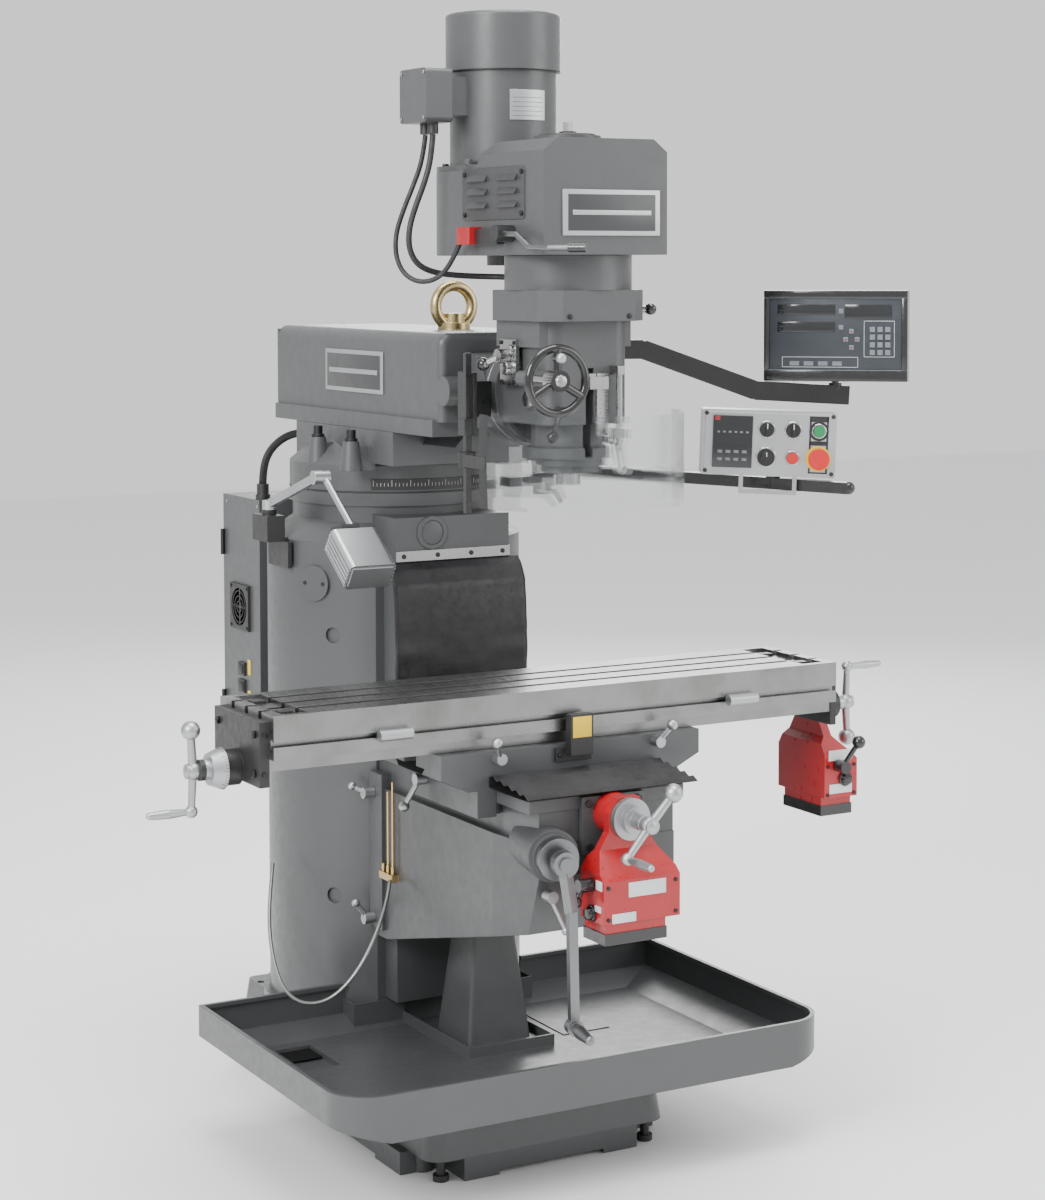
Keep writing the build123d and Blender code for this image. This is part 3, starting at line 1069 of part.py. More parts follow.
save("switch_cable", cord_tube(SWITCH_CABLE, 5))
save("quill", *quill())
save("spindle", *spindle())
save("spindle_pulley", *spindle_pulley())
save("feed_handwheel", *feed_handwheel())
save("backgear_lever", *backgear_lever())
save("speed_lever", *speed_lever())
save("quill_lock_lever", *quill_lock_lever())
save("feed_trip_lever", *feed_trip_lever())
save("feed_lever", *feed_lever())
save("guard_shield", *guard_shield())
save("dro_arm", *dro_arm())
save("dro_console", *dro_console())
save("pendant_arm", *pendant_arm())
save("control_panel", *control_panel())
save("start_button", *button("start_button", 12, 6, 4))
save("stop_button", *button("stop_button", 12, 6, 4))
save("estop_button", *button("estop_button", 22, 14, 5))
save("left_selector", *selector("left_selector", 15))
save("right_selector", *selector("right_selector", 15))
save("speed_dial", *speed_dial())
save("knee_casting", *knee_casting())
save("front_way_cover", *front_way_cover())
save("knee_crank", *knee_crank())
save("elevating_screw", *elevating_screw())
save("lube_hose", cord_tube(LUBE_HOSE, 4))
save("knee_lock_upper", *lock_lever_x(-50, 687, (-215, -34, 702)))
save("knee_lock_lower", *lock_lever_x(-50, 420, (-215, -48, 455)))
save("knee_lock_front", knob_lever((-134, KNEE_FRONT - 1, 608), (0, -1, 0), (-112, -752, 545), 12, 5, 9, 24))
save("saddle_casting", *saddle_casting())
save("table_lock_left", *table_lock(-172, (-190, -628, 888)))
save("table_lock_right", *table_lock(187, (205, -628, 888)))
save("saddle_lock", *saddle_lock())
save("table", *table())
save("x_screw", *x_screw())
save("x_power_feed", *x_power_feed())
save("x_feed_lever", *x_feed_lever())
save("y_power_feed", *y_power_feed())
save("y_feed_lever", *y_feed_lever())
save("y_screw", *y_screw())
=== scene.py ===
import math

import bmesh
import bpy
from mathutils import Matrix, Vector, noise


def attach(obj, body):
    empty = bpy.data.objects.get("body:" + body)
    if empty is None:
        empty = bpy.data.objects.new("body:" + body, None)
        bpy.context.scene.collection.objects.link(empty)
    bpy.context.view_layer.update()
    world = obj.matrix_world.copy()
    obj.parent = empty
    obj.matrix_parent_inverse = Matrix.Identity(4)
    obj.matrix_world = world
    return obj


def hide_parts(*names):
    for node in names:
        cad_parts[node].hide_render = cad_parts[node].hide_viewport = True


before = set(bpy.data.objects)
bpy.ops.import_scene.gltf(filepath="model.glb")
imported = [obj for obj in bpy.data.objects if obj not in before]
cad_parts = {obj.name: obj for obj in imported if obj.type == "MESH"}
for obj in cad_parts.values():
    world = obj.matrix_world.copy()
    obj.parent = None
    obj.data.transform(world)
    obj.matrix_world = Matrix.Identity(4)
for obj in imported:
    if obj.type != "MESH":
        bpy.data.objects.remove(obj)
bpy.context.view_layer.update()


# ---------------------------------------------------------------- camera, light and floor
def camera():
    """The viewpoint, in front of the machine and to its left."""
    data = bpy.data.cameras.new("camera")
    data.sensor_fit, data.sensor_width = "AUTO", 36.0
    data.lens = 75.7
    data.shift_y = -0.165
    data.clip_end = 100
    cam = bpy.data.objects.new("camera", data)
    bpy.context.collection.objects.link(cam)
    cam.location = (-2.478, -4.8079, 1.7978)
    yaw, pitch, roll = 0.511, 0.0542, -0.0021
    turn = Matrix.Rotation(-yaw, 4, "Z") @ Matrix.Rotation(math.pi / 2 - pitch, 4, "X")
    turn = turn @ Matrix.Rotation(roll, 4, "Z")
    cam.rotation_euler = turn.to_euler()
    bpy.context.scene.camera = cam


def area_light(name, place, aim, size, power):
    """A square lamp at place that shines at aim."""
    data = bpy.data.lights.new(name, "AREA")
    data.shape, data.size, data.size_y, data.energy = "RECTANGLE", size, size, power
    lamp = bpy.data.objects.new(name, data)
    bpy.context.collection.objects.link(lamp)
    lamp.location = place
    lamp.rotation_euler = (Vector(aim) - Vector(place)).to_track_quat("-Z", "Y").to_euler()


def studio():
    """Four soft lights, a white sky and a plain pale floor."""
    area_light("key", (-5.2, -2.6, 4.2), (0, -0.2, 1.1), 2.6, 420)
    area_light("fill", (4.6, -4.6, 3.0), (0, -0.2, 1.0), 3.5, 150)
    area_light("top", (0, -0.9, 5.2), (0, 0, 1.0), 3.0, 240)
    area_light("back", (3.2, 4.4, 3.6), (0, 0, 1.2), 3.0, 170)
    world = bpy.data.worlds.new("world")
    world.use_nodes = True
    world.node_tree.nodes["Background"].inputs[0].default_value = (1, 1, 1, 1)
    world.node_tree.nodes["Background"].inputs[1].default_value = 1.05
    bpy.context.scene.world = world
    mesh = bpy.data.meshes.new("floor")
    mesh.from_pydata([(-14, -14, -0.001), (14, -14, -0.001), (14, 14, -0.001), (-14, 14, -0.001)], [],
                     [(0, 1, 2, 3)])
    floor = bpy.data.objects.new("floor", mesh)
    bpy.context.collection.objects.link(floor)
    mat = bpy.data.materials.new("floor")
    mat.use_nodes = True
    shader = mat.node_tree.nodes["Principled BSDF"]
    shader.inputs["Base Color"].default_value = (0.9, 0.9, 0.9, 1)
    shader.inputs["Roughness"].default_value = 0.7
    mesh.materials.append(mat)


# ---------------------------------------------------------------- materials
class Surface:
    """A Principled material with small helpers for its procedural detail."""

    def __init__(self, name, rough=0.5, metal=0.0, coat=0.0):
        self.mat = bpy.data.materials.new(name)
        self.mat.use_nodes = True
        self.tree = self.mat.node_tree
        self.shader = self.tree.nodes["Principled BSDF"]
        self.shader.inputs["Roughness"].default_value = rough
        self.shader.inputs["Metallic"].default_value = metal
        self.shader.inputs["Coat Weight"].default_value = coat
        self.coords = self.tree.nodes.new("ShaderNodeTexCoord")
        self.normal = None

    def link(self, a, b):
        self.tree.links.new(a, b)

    def noise(self, scale, detail=4.0, stretch=(1, 1, 1), rough=0.55):
        mapping = self.tree.nodes.new("ShaderNodeMapping")
        mapping.inputs["Scale"].default_value = stretch
        self.link(self.coords.outputs["Object"], mapping.inputs["Vector"])
        node = self.tree.nodes.new("ShaderNodeTexNoise")
        node.inputs["Scale"].default_value = scale
        node.inputs["Detail"].default_value = detail
        node.inputs["Roughness"].default_value = rough
        self.link(mapping.outputs["Vector"], node.inputs["Vector"])
        return node.outputs["Fac"]

    def ramp(self, source, stops):
        node = self.tree.nodes.new("ShaderNodeValToRGB")
        while len(node.color_ramp.elements) < len(stops):
            node.color_ramp.elements.new(0.5)
        for element, (place, colour) in zip(node.color_ramp.elements, stops):
            element.position = place
            element.color = (*colour, 1)
        self.link(source, node.inputs["Fac"])
        return node.outputs["Color"]

    def range(self, source, low, high, a=0.3, b=0.7):
        node = self.tree.nodes.new("ShaderNodeMapRange")
        for key, value in (("From Min", a), ("From Max", b), ("To Min", low), ("To Max", high)):
            node.inputs[key].default_value = value
        self.link(source, node.inputs["Value"])
        return node.outputs["Result"]

    def colour(self, source):
        self.link(source, self.shader.inputs["Base Color"])

    def roughness(self, source):
        self.link(source, self.shader.inputs["Roughness"])

    def bevel(self, radius):
        node = self.tree.nodes.new("ShaderNodeBevel")
        node.samples = 4
        node.inputs["Radius"].default_value = radius
        self.normal = node.outputs["Normal"]
        self.link(self.normal, self.shader.inputs["Normal"])

    def bump(self, source, strength, distance):
        node = self.tree.nodes.new("ShaderNodeBump")
        node.inputs["Strength"].default_value = strength
        node.inputs["Distance"].default_value = distance
        self.link(source, node.inputs["Height"])
        if self.normal is not None:
            self.link(self.normal, node.inputs["Normal"])
        self.normal = node.outputs["Normal"]
        self.link(self.normal, self.shader.inputs["Normal"])


def shade(colour, factor):
    """A colour made darker or lighter."""
    return tuple(c * factor for c in colour)


def paint(name, colour, rough=0.42, peel=0.35, casting=0.0, coat=0.25):
    """Sprayed machine enamel: slight orange peel, faint clouding, dust in the rougher castings."""
    s = Surface(name, rough, 0.0, coat)
    s.shader.inputs["Coat Roughness"].default_value = 0.25
    cloud = s.noise(3.5, 5)
    s.colour(s.ramp(cloud, [(0.3, shade(colour, 0.93)), (0.55, colour), (0.8, shade(colour, 1.06))]))
    s.roughness(s.range(s.noise(40, 3), rough - 0.06, rough + 0.08))
    s.bevel(0.0022)
    if casting:
        s.bump(s.noise(55, 4), casting, 0.0012)
    s.bump(s.noise(420, 2), peel, 0.00018)
    return s.mat


def metal(name, colour, rough=0.28, stretch=(1, 1, 1), scale=300, wear=0.1, bevel=0.0012):
    """Machined or polished metal with fine tool marks and faint stains."""
    s = Surface(name, rough, 1.0)
    marks = s.noise(scale, 3, stretch)
    stain = s.noise(9, 5)
    s.colour(s.ramp(stain, [(0.3, shade(colour, 1 - wear)), (0.6, colour),
                            (0.85, shade(colour, 1 + wear / 3))]))
    s.roughness(s.range(marks, max(rough - 0.05, 0.04), rough + 0.07))
    s.bevel(bevel)
    s.bump(marks, 0.06, 0.0001)
    return s.mat


def plastic(name, colour, rough=0.35, grain=0.15, coat=0.0, bevel=0.0015):
    s = Surface(name, rough, 0.0, coat)
    s.colour(s.ramp(s.noise(14, 4), [(0.3, shade(colour, 0.9)), (0.7, shade(colour, 1.05))]))
    s.roughness(s.range(s.noise(60, 3), rough - 0.06, rough + 0.1))
    s.bevel(bevel)
    s.bump(s.noise(900, 2), grain, 0.0001)
    return s.mat


def rubber(name, colour=(0.012, 0.012, 0.013), rough=0.55):
    s = Surface(name, rough)
    s.colour(s.ramp(s.noise(25, 5), [(0.35, colour), (0.75, shade(colour, 2.2))]))
    s.roughness(s.range(s.noise(90, 4), rough - 0.12, rough + 0.15))
    s.bump(s.noise(260, 4), 0.3, 0.0003)
    return s.mat


def ground_iron(name):
    """Ground table top: bright, crossed by fine grinding lines and faint stains."""
    s = Surface(name, 0.3, 1.0)
    lines = s.noise(900, 2, (1, 0.02, 1))
    cross = s.noise(500, 3, (0.03, 1, 1))
    stain = s.noise(7, 6)
    s.colour(s.ramp(stain, [(0.28, (0.20, 0.198, 0.19)), (0.5, (0.27, 0.27, 0.268)),
                            (0.8, (0.33, 0.33, 0.328))]))
    s.roughness(s.range(lines, 0.22, 0.42))
    s.bevel(0.0008)
    s.bump(lines, 0.15, 0.0001)
    s.bump(cross, 0.1, 0.0001)
    return s.mat


def clear_sheet(name):
    s = Surface(name, 0.06)
    s.shader.inputs["Base Color"].default_value = (0.93, 0.96, 0.97, 1)
    s.shader.inputs["Transmission Weight"].default_value = 1.0
    s.shader.inputs["IOR"].default_value = 1.12
    s.shader.inputs["Alpha"].default_value = 0.45
    s.roughness(s.range(s.noise(30, 5), 0.03, 0.13))
    return s.mat


def conduit(name, colour, pitch):
    """Corrugated flexible conduit: rings across the tube, with painted shade darkening the colour in the
    grooves between them.
    """
    s = Surface(name, 0.45)
    wave = s.tree.nodes.new("ShaderNodeTexWave")
    wave.wave_type, wave.bands_direction = "BANDS", "X"
    wave.inputs["Scale"].default_value = pitch
    s.link(s.coords.outputs["UV"], wave.inputs["Vector"])
    # painted shade: the colour in the grooves drops to 0.55 of the base, in step with the bump
    s.colour(s.ramp(wave.outputs["Fac"], [(0.1, shade(colour, 0.55)), (0.6, colour)]))
    s.roughness(s.range(s.noise(60, 3), 0.38, 0.55))
    s.bump(wave.outputs["Fac"], 0.8, 0.0012)
    return s.mat


GREY = (0.058, 0.061, 0.063)
M = {
    "paint": paint("machine_paint", GREY),
    "cast": paint("casting_paint", GREY, 0.45, 0.35, casting=0.35),
    "sheet": paint("sheet_paint", GREY, 0.38, 0.3),
    "dark": plastic("dark_plate", (0.018, 0.018, 0.019), 0.4, 0.2),
    "louvre": paint("louvre_paint", (0.032, 0.033, 0.035), 0.4, 0.3),
    "enamel": paint("black_enamel", (0.010, 0.010, 0.011), 0.3, 0.25),
    "black": plastic("black_gloss", (0.012, 0.012, 0.013), 0.16, 0.05, coat=0.4),
    "blackox": metal("black_oxide", (0.05, 0.05, 0.052), 0.38),
    "steel": metal("bright_steel", (0.40, 0.40, 0.40), 0.24),
    "satin": metal("satin_handles", (0.44, 0.45, 0.46), 0.42),
    "crank": metal("satin_crank", (0.22, 0.225, 0.23), 0.36),
    "chrome": metal("chrome", (0.60, 0.60, 0.60), 0.10, scale=60, wear=0.04),
    "alu": metal("aluminium", (0.52, 0.53, 0.54), 0.36),
    "brass": metal("brass", (0.62, 0.45, 0.20), 0.3),
    "zinc": metal("yellow_zinc", (0.50, 0.40, 0.20), 0.3, wear=0.25),
    "iron": ground_iron("ground_iron"),
    "red": plastic("red_cover", (0.36, 0.008, 0.012), 0.32, 0.2, coat=0.3),
    "redgloss": plastic("red_button", (0.55, 0.012, 0.014), 0.2, 0.05, coat=0.4),
    "green": plastic("green_button", (0.01, 0.22, 0.07), 0.2, 0.05, coat=0.4),
    "yellow": plastic("yellow_ring", (0.75, 0.52, 0.02), 0.35),
    "white": plastic("white_plate", (0.62, 0.64, 0.65), 0.4, 0.1),
    "pale": plastic("console_panel", (0.030, 0.036, 0.045), 0.4, 0.1),
    "key": plastic("console_key", (0.16, 0.18, 0.20), 0.4, 0.1),
    "badge": metal("badge_plate", (0.50, 0.51, 0.52), 0.45),
    "screen": plastic("screen", (0.01, 0.012, 0.013), 0.08, 0.02, coat=0.5),
    "rubber": rubber("rubber"),
    "cover": rubber("way_cover", (0.010, 0.010, 0.011), 0.48),
    "clear": clear_sheet("clear_sheet"),
    "hose": conduit("black_conduit", (0.016, 0.016, 0.017), 90),
    "grey_hose": metal("braided_hose", (0.30, 0.30, 0.30), 0.4),
}


# ---------------------------------------------------------------- paint the CAD nodes
def islands(mesh):
    """Loose solids of a mesh as lists of polygon indices, with their boxes."""
    seen = {}
    parent = list(range(len(mesh.vertices)))

    def find(i):
        while parent[i] != i:
            parent[i] = parent[parent[i]]
            i = parent[i]
        return i

    by_place = {}
    for v in mesh.vertices:
        key = tuple(round(c, 5) for c in v.co)
        other = by_place.setdefault(key, v.index)
        parent[find(v.index)] = find(other)
    for p in mesh.polygons:
        first = find(p.vertices[0])
        for i in p.vertices[1:]:
            parent[find(i)] = first
    for p in mesh.polygons:
        seen.setdefault(find(p.vertices[0]), []).append(p.index)
    out = []
    for polys in seen.values():
        co = [mesh.vertices[i].co for k in polys for i in mesh.polygons[k].vertices]
        lo = Vector(min(c[a] for c in co) for a in range(3))
        hi = Vector(max(c[a] for c in co) for a in range(3))
        out.append((polys, lo, hi))
    return out


def with_slots(node, base, rules):
    """A CAD node's mesh with one material slot for its base and one for each rule."""
    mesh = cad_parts[node].data
    mesh.materials.clear()
    for key in [base] + [rule[2] for rule in rules]:
        mesh.materials.append(M[key])
    return mesh


def coat(node, base, *rules):
    """Material for a CAD node; each rule (lo, hi, key) repaints the faces whose middle lies in a box."""
    mesh = with_slots(node, base, rules)
    for p in mesh.polygons:
        p.material_index = 0
        for k, (lo, hi, _) in enumerate(rules, 1):
            if all(lo[a] <= p.center[a] <= hi[a] for a in range(3)):
                p.material_index = k


def coat_solids(node, base, *rules):
    """As coat, but a rule takes every loose solid whose box middle lies in its box."""
    mesh = with_slots(node, base, rules)
    for polys, lo, hi in islands(mesh):
        middle = (lo + hi) / 2
        index = 0
        for k, (a, b, _) in enumerate(rules, 1):
            if all(a[i] <= middle[i] <= b[i] for i in range(3)):
                index = k
        for i in polys:
            mesh.polygons[i].material_index = index


BIG = 9.0


def zone(x0=-BIG, x1=BIG, y0=-BIG, y1=BIG, z0=-BIG, z1=BIG):
    return (x0, y0, z0), (x1, y1, z1)


def coat_all():
    """Materials for every CAD node that no mesh piece stands for."""
    coat_solids("base_casting", "cast", (*zone(z1=0.05, y1=-0.44), "rubber"),
                (*zone(z1=0.05, y0=0.42), "rubber"))
    coat_solids("chip_tray", "sheet", (*zone(z1=0.18, x1=-0.3), "blackox"))
    coat_solids("column_casting", "cast", (*zone(z0=1.17, z1=1.2, y1=0), "steel"),
                (*zone(x1=-0.25, z0=1.15), "dark"))
    coat_solids("cabinet_case", "sheet", (*zone(x1=-0.195), "dark"), (*zone(z0=1.26), "dark"))
    coat_solids("cabinet_door", "sheet", (*zone(y0=0.702), "blackox"), (*zone(x1=-0.2), "blackox"))
    coat("lamp_arm", "alu")
    coat("lamp_rod", "alu", (*zone(y1=-0.155), "dark"))
    coat_solids("lamp_head", "alu", (*zone(y0=-0.2), "dark"), (*zone(z1=1.19), "screen"))
    coat_solids("turret_saddle", "cast", (*zone(z0=1.42), "blackox"), (*zone(y0=0.34, z0=1.4), "blackox"))
    coat_solids("ram_casting", "cast", (*zone(z0=1.685), "zinc"), (*zone(x0=0.05, z0=1.67), "blackox"))
    coat("head_knuckle", "cast")
    coat_solids("head_casting", "cast", (*zone(x1=-0.1, y0=-0.57, y1=-0.49), "steel"),
                (*zone(x0=0.01, x1=0.07, y1=-0.65), "steel"), (*zone(x1=-0.12, y0=-0.5), "enamel"),
                (*zone(x0=0.11), "blackox"), (*zone(z1=1.41), "steel"))
    coat("gear_housing", "cast")
    coat_solids("belt_housing", "cast", (*zone(x1=-0.13), "louvre"), (*zone(x1=-0.13, z1=1.88), "dark"),
                (*zone(x1=-0.13, y0=-0.475, z1=1.88), "red"), (*zone(z0=2.03), "paint"))
    coat("drive_belt", "rubber")
    coat_solids("drive_motor", "paint", (*zone(z1=2.08), "dark"))
    coat("motor_pulley", "alu")
    coat("quill", "steel")
    coat("spindle", "steel")
    coat("spindle_pulley", "alu")
    coat("feed_handwheel", "black", (*zone(y1=-0.757), "satin"), (*zone(y0=-0.74), "steel"))
    coat("speed_lever", "crank", (*zone(y1=-0.79), "black"), (*zone(x1=-0.136, y0=-0.62), "dark"))
    coat("backgear_lever", "steel", (*zone(x0=0.161), "black"))
    coat("feed_lever", "steel", (*zone(y0=-0.512), "black"))
    for node in ("x_feed_lever", "y_feed_lever", "feed_trip_lever"):
        coat(node, "black")
    for node in ("quill_lock_lever", "knee_lock_upper", "knee_lock_lower", "knee_lock_front", "saddle_lock",
                 "table_lock_left", "table_lock_right"):
        coat(node, "satin")
    coat("guard_shield", "clear", (*zone(x1=-0.1925), "dark"), (*zone(x1=-0.158, y0=-0.51), "dark"))
    coat("dro_arm", "enamel")
    coat("dro_console", "key")
    coat_solids("pendant_arm", "enamel", (*zone(z1=1.315), "dark"))
    coat("control_panel", "badge", (*zone(z1=1.351), "chrome"))
    coat("start_button", "green")
    coat("stop_button", "redgloss")
    coat("estop_button", "redgloss")
    coat("left_selector", "black")
    coat("right_selector", "black")
    coat("speed_dial", "black")
    coat_solids("knee_casting", "cast", (*zone(y1=-0.72), "dark"), (*zone(y1=-0.74, x1=-0.05), "steel"),
                (*zone(x1=-0.165), "brass"))
    coat("knee_crank", "crank")
    coat("elevating_screw", "steel")
    coat_solids("saddle_casting", "cast", (*zone(y1=-0.59), "dark"))
    coat_solids("table", "iron", (*zone(y1=-0.56), "satin"), (*zone(x0=0.56), "dark"),
                (*zone(x1=-0.56), "dark"))
    coat("x_screw", "satin")
    coat_solids("x_power_feed", "red", (*zone(z1=0.665), "black"))
    coat_solids("y_power_feed", "red", (*zone(z1=0.56), "black"))
    coat("y_screw", "satin")


# ---------------------------------------------------------------- mesh pieces
class Piece:
    """Collects bevelled shapes in one bmesh and turns them into an object that rides a body."""

    def __init__(self, place=None):
        self.bm = bmesh.new()
        self.place = place or Matrix.Identity(4)

    def add(self, made, bevel):
        """Round the sharp edges of the vertices just made."""
        if bevel:
            edges = {e for v in made for e in v.link_edges if len(e.link_faces) == 2
                     and e.calc_face_angle(0) > 0.6}
            bmesh.ops.bevel(self.bm, geom=list(edges), offset=bevel, segments=2, profile=0.6,
                            affect="EDGES", clamp_overlap=True)

    def box(self, lo, hi, bevel=0.001):
        size = [b - a for a, b in zip(lo, hi)]
        middle = [(a + b) / 2 for a, b in zip(lo, hi)]
        m = Matrix.Translation(middle) @ Matrix.Diagonal((*size, 1))
        made = bmesh.ops.create_cube(self.bm, size=1, matrix=self.place @ m)["verts"]
        self.add(made, bevel)

    def rod(self, p, q, r, r2=None, bevel=0.0008, sides=32):
        p, q = Vector(p), Vector(q)
        turn = (q - p).to_track_quat("Z", "Y").to_matrix().to_4x4()
        m = Matrix.Translation((p + q) / 2) @ turn
        made = bmesh.ops.create_cone(self.bm, cap_ends=True, segments=sides, radius1=r,
                                     radius2=r if r2 is None else r2,
                                     depth=(q - p).length, matrix=self.place @ m)["verts"]
        self.add(made, bevel)

    def screw(self, p, axis, r, h):
        """Socket-head cap screw: bevelled head with a hexagonal recess."""
        p, axis = Vector(p), Vector(axis).normalized()
        self.rod(p, p + axis * h, r, bevel=r * 0.15, sides=24)
        self.rod(p + axis * (h - 0.0001), p + axis * (h + 0.0004), r * 0.52, r * 0.5, bevel=0, sides=6)

    def washer(self, centre, axis, inner, outer, thick, sides=48):
        """A flat ring with a hole, its back face at centre."""
        turn = Vector(axis).to_track_quat("Z", "Y").to_matrix().to_4x4()
        m = self.place @ Matrix.Translation(centre) @ turn
        loops = []
        for r, z in ((inner, 0), (outer, 0), (outer, thick * 0.7), (outer - thick * 0.4, thick),
                     (inner, thick)):
            loops.append([self.bm.verts.new(m @ Vector((r * math.cos(2 * math.pi * i / sides),
                                                        r * math.sin(2 * math.pi * i / sides), z)))
                          for i in range(sides)])
        for a, b in zip(loops, loops[1:] + loops[:1]):
            for i in range(sides):
                k = (i + 1) % sides
                self.bm.faces.new((a[i], a[k], b[k], b[i]))

    def band(self, centre, radius, start, end, z0, z1, thick=0.0008, steps=36):
        """A thin curved plate round a vertical axis, angles in degrees."""
        cx, cy = centre
        rows = []
        for i in range(steps + 1):
            a = math.radians(start + (end - start) * i / steps)
            c, d = math.cos(a), math.sin(a)
            rows.append([(cx + r * c, cy + r * d, z) for r, z in
                         ((radius, z0), (radius + thick, z0), (radius + thick, z1), (radius, z1),
                          (radius, z0))])
        self.grid(rows)
        for row in (rows[0], rows[-1]):
            self.bm.faces.new([self.bm.verts.new(self.place @ Vector(p)) for p in row[:4]])

    def grid(self, points):
        """A sheet through a grid of points, given as rows."""
        rows = [[self.bm.verts.new(self.place @ Vector(p)) for p in row] for row in points]
        for a, b in zip(rows, rows[1:]):
            for k in range(len(a) - 1):
                self.bm.faces.new((a[k], a[k + 1], b[k + 1], b[k]))

    def done(self, name, material, body, smooth=0.6, replaces=()):
        bmesh.ops.recalc_face_normals(self.bm, faces=self.bm.faces)
        mesh = bpy.data.meshes.new(name)
        self.bm.to_mesh(mesh)
        self.bm.free()
        for p in mesh.polygons:
            p.use_smooth = True
        mesh.set_sharp_from_angle(angle=smooth)
        mesh.materials.append(M[material])
        obj = bpy.data.objects.new(name, mesh)
        bpy.context.collection.objects.link(obj)
        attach(obj, body)
        if replaces:
            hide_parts(*replaces)
        return obj


# ---------------------------------------------------------------- cords
def cord(name, points, radius, material, body, node):
    data = bpy.data.curves.new(name, "CURVE")
    data.dimensions = "3D"
    data.bevel_depth, data.bevel_resolution, data.resolution_u = radius, 5, 16
    data.use_fill_caps = True
    spline = data.splines.new("NURBS")
    spline.points.add(len(points) - 1)
    for p, co in zip(spline.points, points):
        p.co = (*co, 1)
    spline.order_u = 3
    spline.use_endpoint_u = True
    data.materials.append(M[material])
    obj = bpy.data.objects.new(name, data)
    bpy.context.collection.objects.link(obj)
    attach(obj, body)
    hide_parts(node)


def cords():
    """The cabinet hose, the two cables of the head and the lubrication hose."""
    cord("cabinet_hose_line", [(-0.178, 0.512, 1.2995), (-0.178, 0.510, 1.335), (-0.170, 0.492, 1.376),
                               (-0.152, 0.458, 1.406), (-0.130, 0.418, 1.421), (-0.110, 0.375, 1.421)],
         0.009, "hose", "base", "cabinet_hose")
    cord("motor_cable_line", [(-0.176, -0.341, 2.057), (-0.180, -0.341, 2.010), (-0.194, -0.340, 1.962),
                              (-0.214, -0.338, 1.914), (-0.228, -0.336, 1.868), (-0.226, -0.334, 1.826),
                              (-0.204, -0.332, 1.796), (-0.164, -0.331, 1.782), (-0.112, -0.334, 1.777),
                              (-0.062, -0.348, 1.775), (-0.028, -0.386, 1.774), (-0.014, -0.438, 1.772)],
         0.006, "rubber", "head", "motor_cable")
    cord("switch_cable_line", [(-0.176, -0.309, 2.057), (-0.181, -0.306, 2.008), (-0.200, -0.303, 1.958),
                               (-0.222, -0.301, 1.908), (-0.239, -0.300, 1.860), (-0.240, -0.302, 1.816),
                               (-0.230, -0.314, 1.782), (-0.210, -0.338, 1.764), (-0.186, -0.368, 1.768),
                               (-0.166, -0.394, 1.796), (-0.154, -0.411, 1.840)],
         0.005, "rubber", "head", "switch_cable")
    cord("lube_hose_line", [(-0.186, -0.152, 0.521), (-0.200, -0.174, 0.504), (-0.222, -0.196, 0.468),
                            (-0.252, -0.212, 0.420), (-0.286, -0.220, 0.372), (-0.322, -0.216, 0.330),
                            (-0.358, -0.196, 0.300), (-0.388, -0.150, 0.290), (-0.400, -0.090, 0.305),
                            (-0.396, -0.030, 0.345), (-0.380, 0.030, 0.400), (-0.352, 0.090, 0.458),
                            (-0.318, 0.150, 0.510)],
         0.004, "grey_hose", "base", "lube_hose")


# ---------------------------------------------------------------- way covers
def way_covers():
    """Black folded front cover and the rear sheet that bulges behind the saddle."""
    front = Piece()
    folds = 5
    profile = []
    y0, y1 = -0.5912, -0.742
    for k in range(folds * 2 + 1):
        t = k / (folds * 2)
        y = y0 + (y1 - y0) * t
        z = 0.8195 - 0.0175 * t + (0.0028 if k % 2 else -0.0035)
        profile.append((y, z))
    profile += [(-0.7435, 0.7985), (-0.741, 0.7965), (-0.66, 0.7955), (-0.5912, 0.7965)]
    rows = []
    for i in range(25):
        x = -0.1895 + 0.379 * i / 24
        sag = 0.0015 * noise.noise(Vector((x * 9, 0, 0)))
        rows.append([(x, y, z + (sag if z > 0.80 else 0)) for y, z in profile + profile[:1]])
    front.grid(rows)
    front.done("front_cover_folds", "cover", "saddle", replaces=("front_way_cover",))
    rear = Piece()
    path = [(-0.0848, 1.1735), (-0.100, 1.160), (-0.117, 1.128), (-0.1235, 1.06), (-0.1265, 0.98),
            (-0.1235, 0.92),
            (-0.115, 0.87), (-0.106, 0.83), (-0.0975, 0.802)]
    rows = []
    for i in range(33):
        x = -0.157 + 0.314 * i / 32
        row = []
        for k in range(57):
            s = k / 56 * (len(path) - 1)
            j = min(int(s), len(path) - 2)
            f = s - j
            y = path[j][0] * (1 - f) + path[j + 1][0] * f
            z = path[j][1] * (1 - f) + path[j + 1][1] * f
            wrinkle = 0.0022 * noise.noise(Vector((x * 6, z * 34, 1.3))) * math.sin(math.pi * k / 56)
            row.append((x, y + wrinkle, z))
        rows.append(row)
    rear.grid(rows)
    sheet = rear.done("rear_cover_sheet", "cover", "base", smooth=1.2,
                      replaces=("rear_way_cover",))
    thick = sheet.modifiers.new("thickness", "SOLIDIFY")
    thick.thickness, thick.offset = 0.003, 0


# ---------------------------------------------------------------- applied details
# Boxes and points given to plate, screws and mm are in millimetres; radii and bevels are in metres.
MM = 0.001
TO_LEFT, TO_FRONT, UP = (-1, 0, 0), (0, -1, 0), (0, 0, 1)
MOTOR_AXIS = (0, -0.311)
MOTOR_R = 0.1088
TURRET_AXIS = (0, 0.2)
TURRET_R = 0.2282
X_DIAL_Y, X_DIAL_Z, X_DIAL_R = -459, 861, 40.1


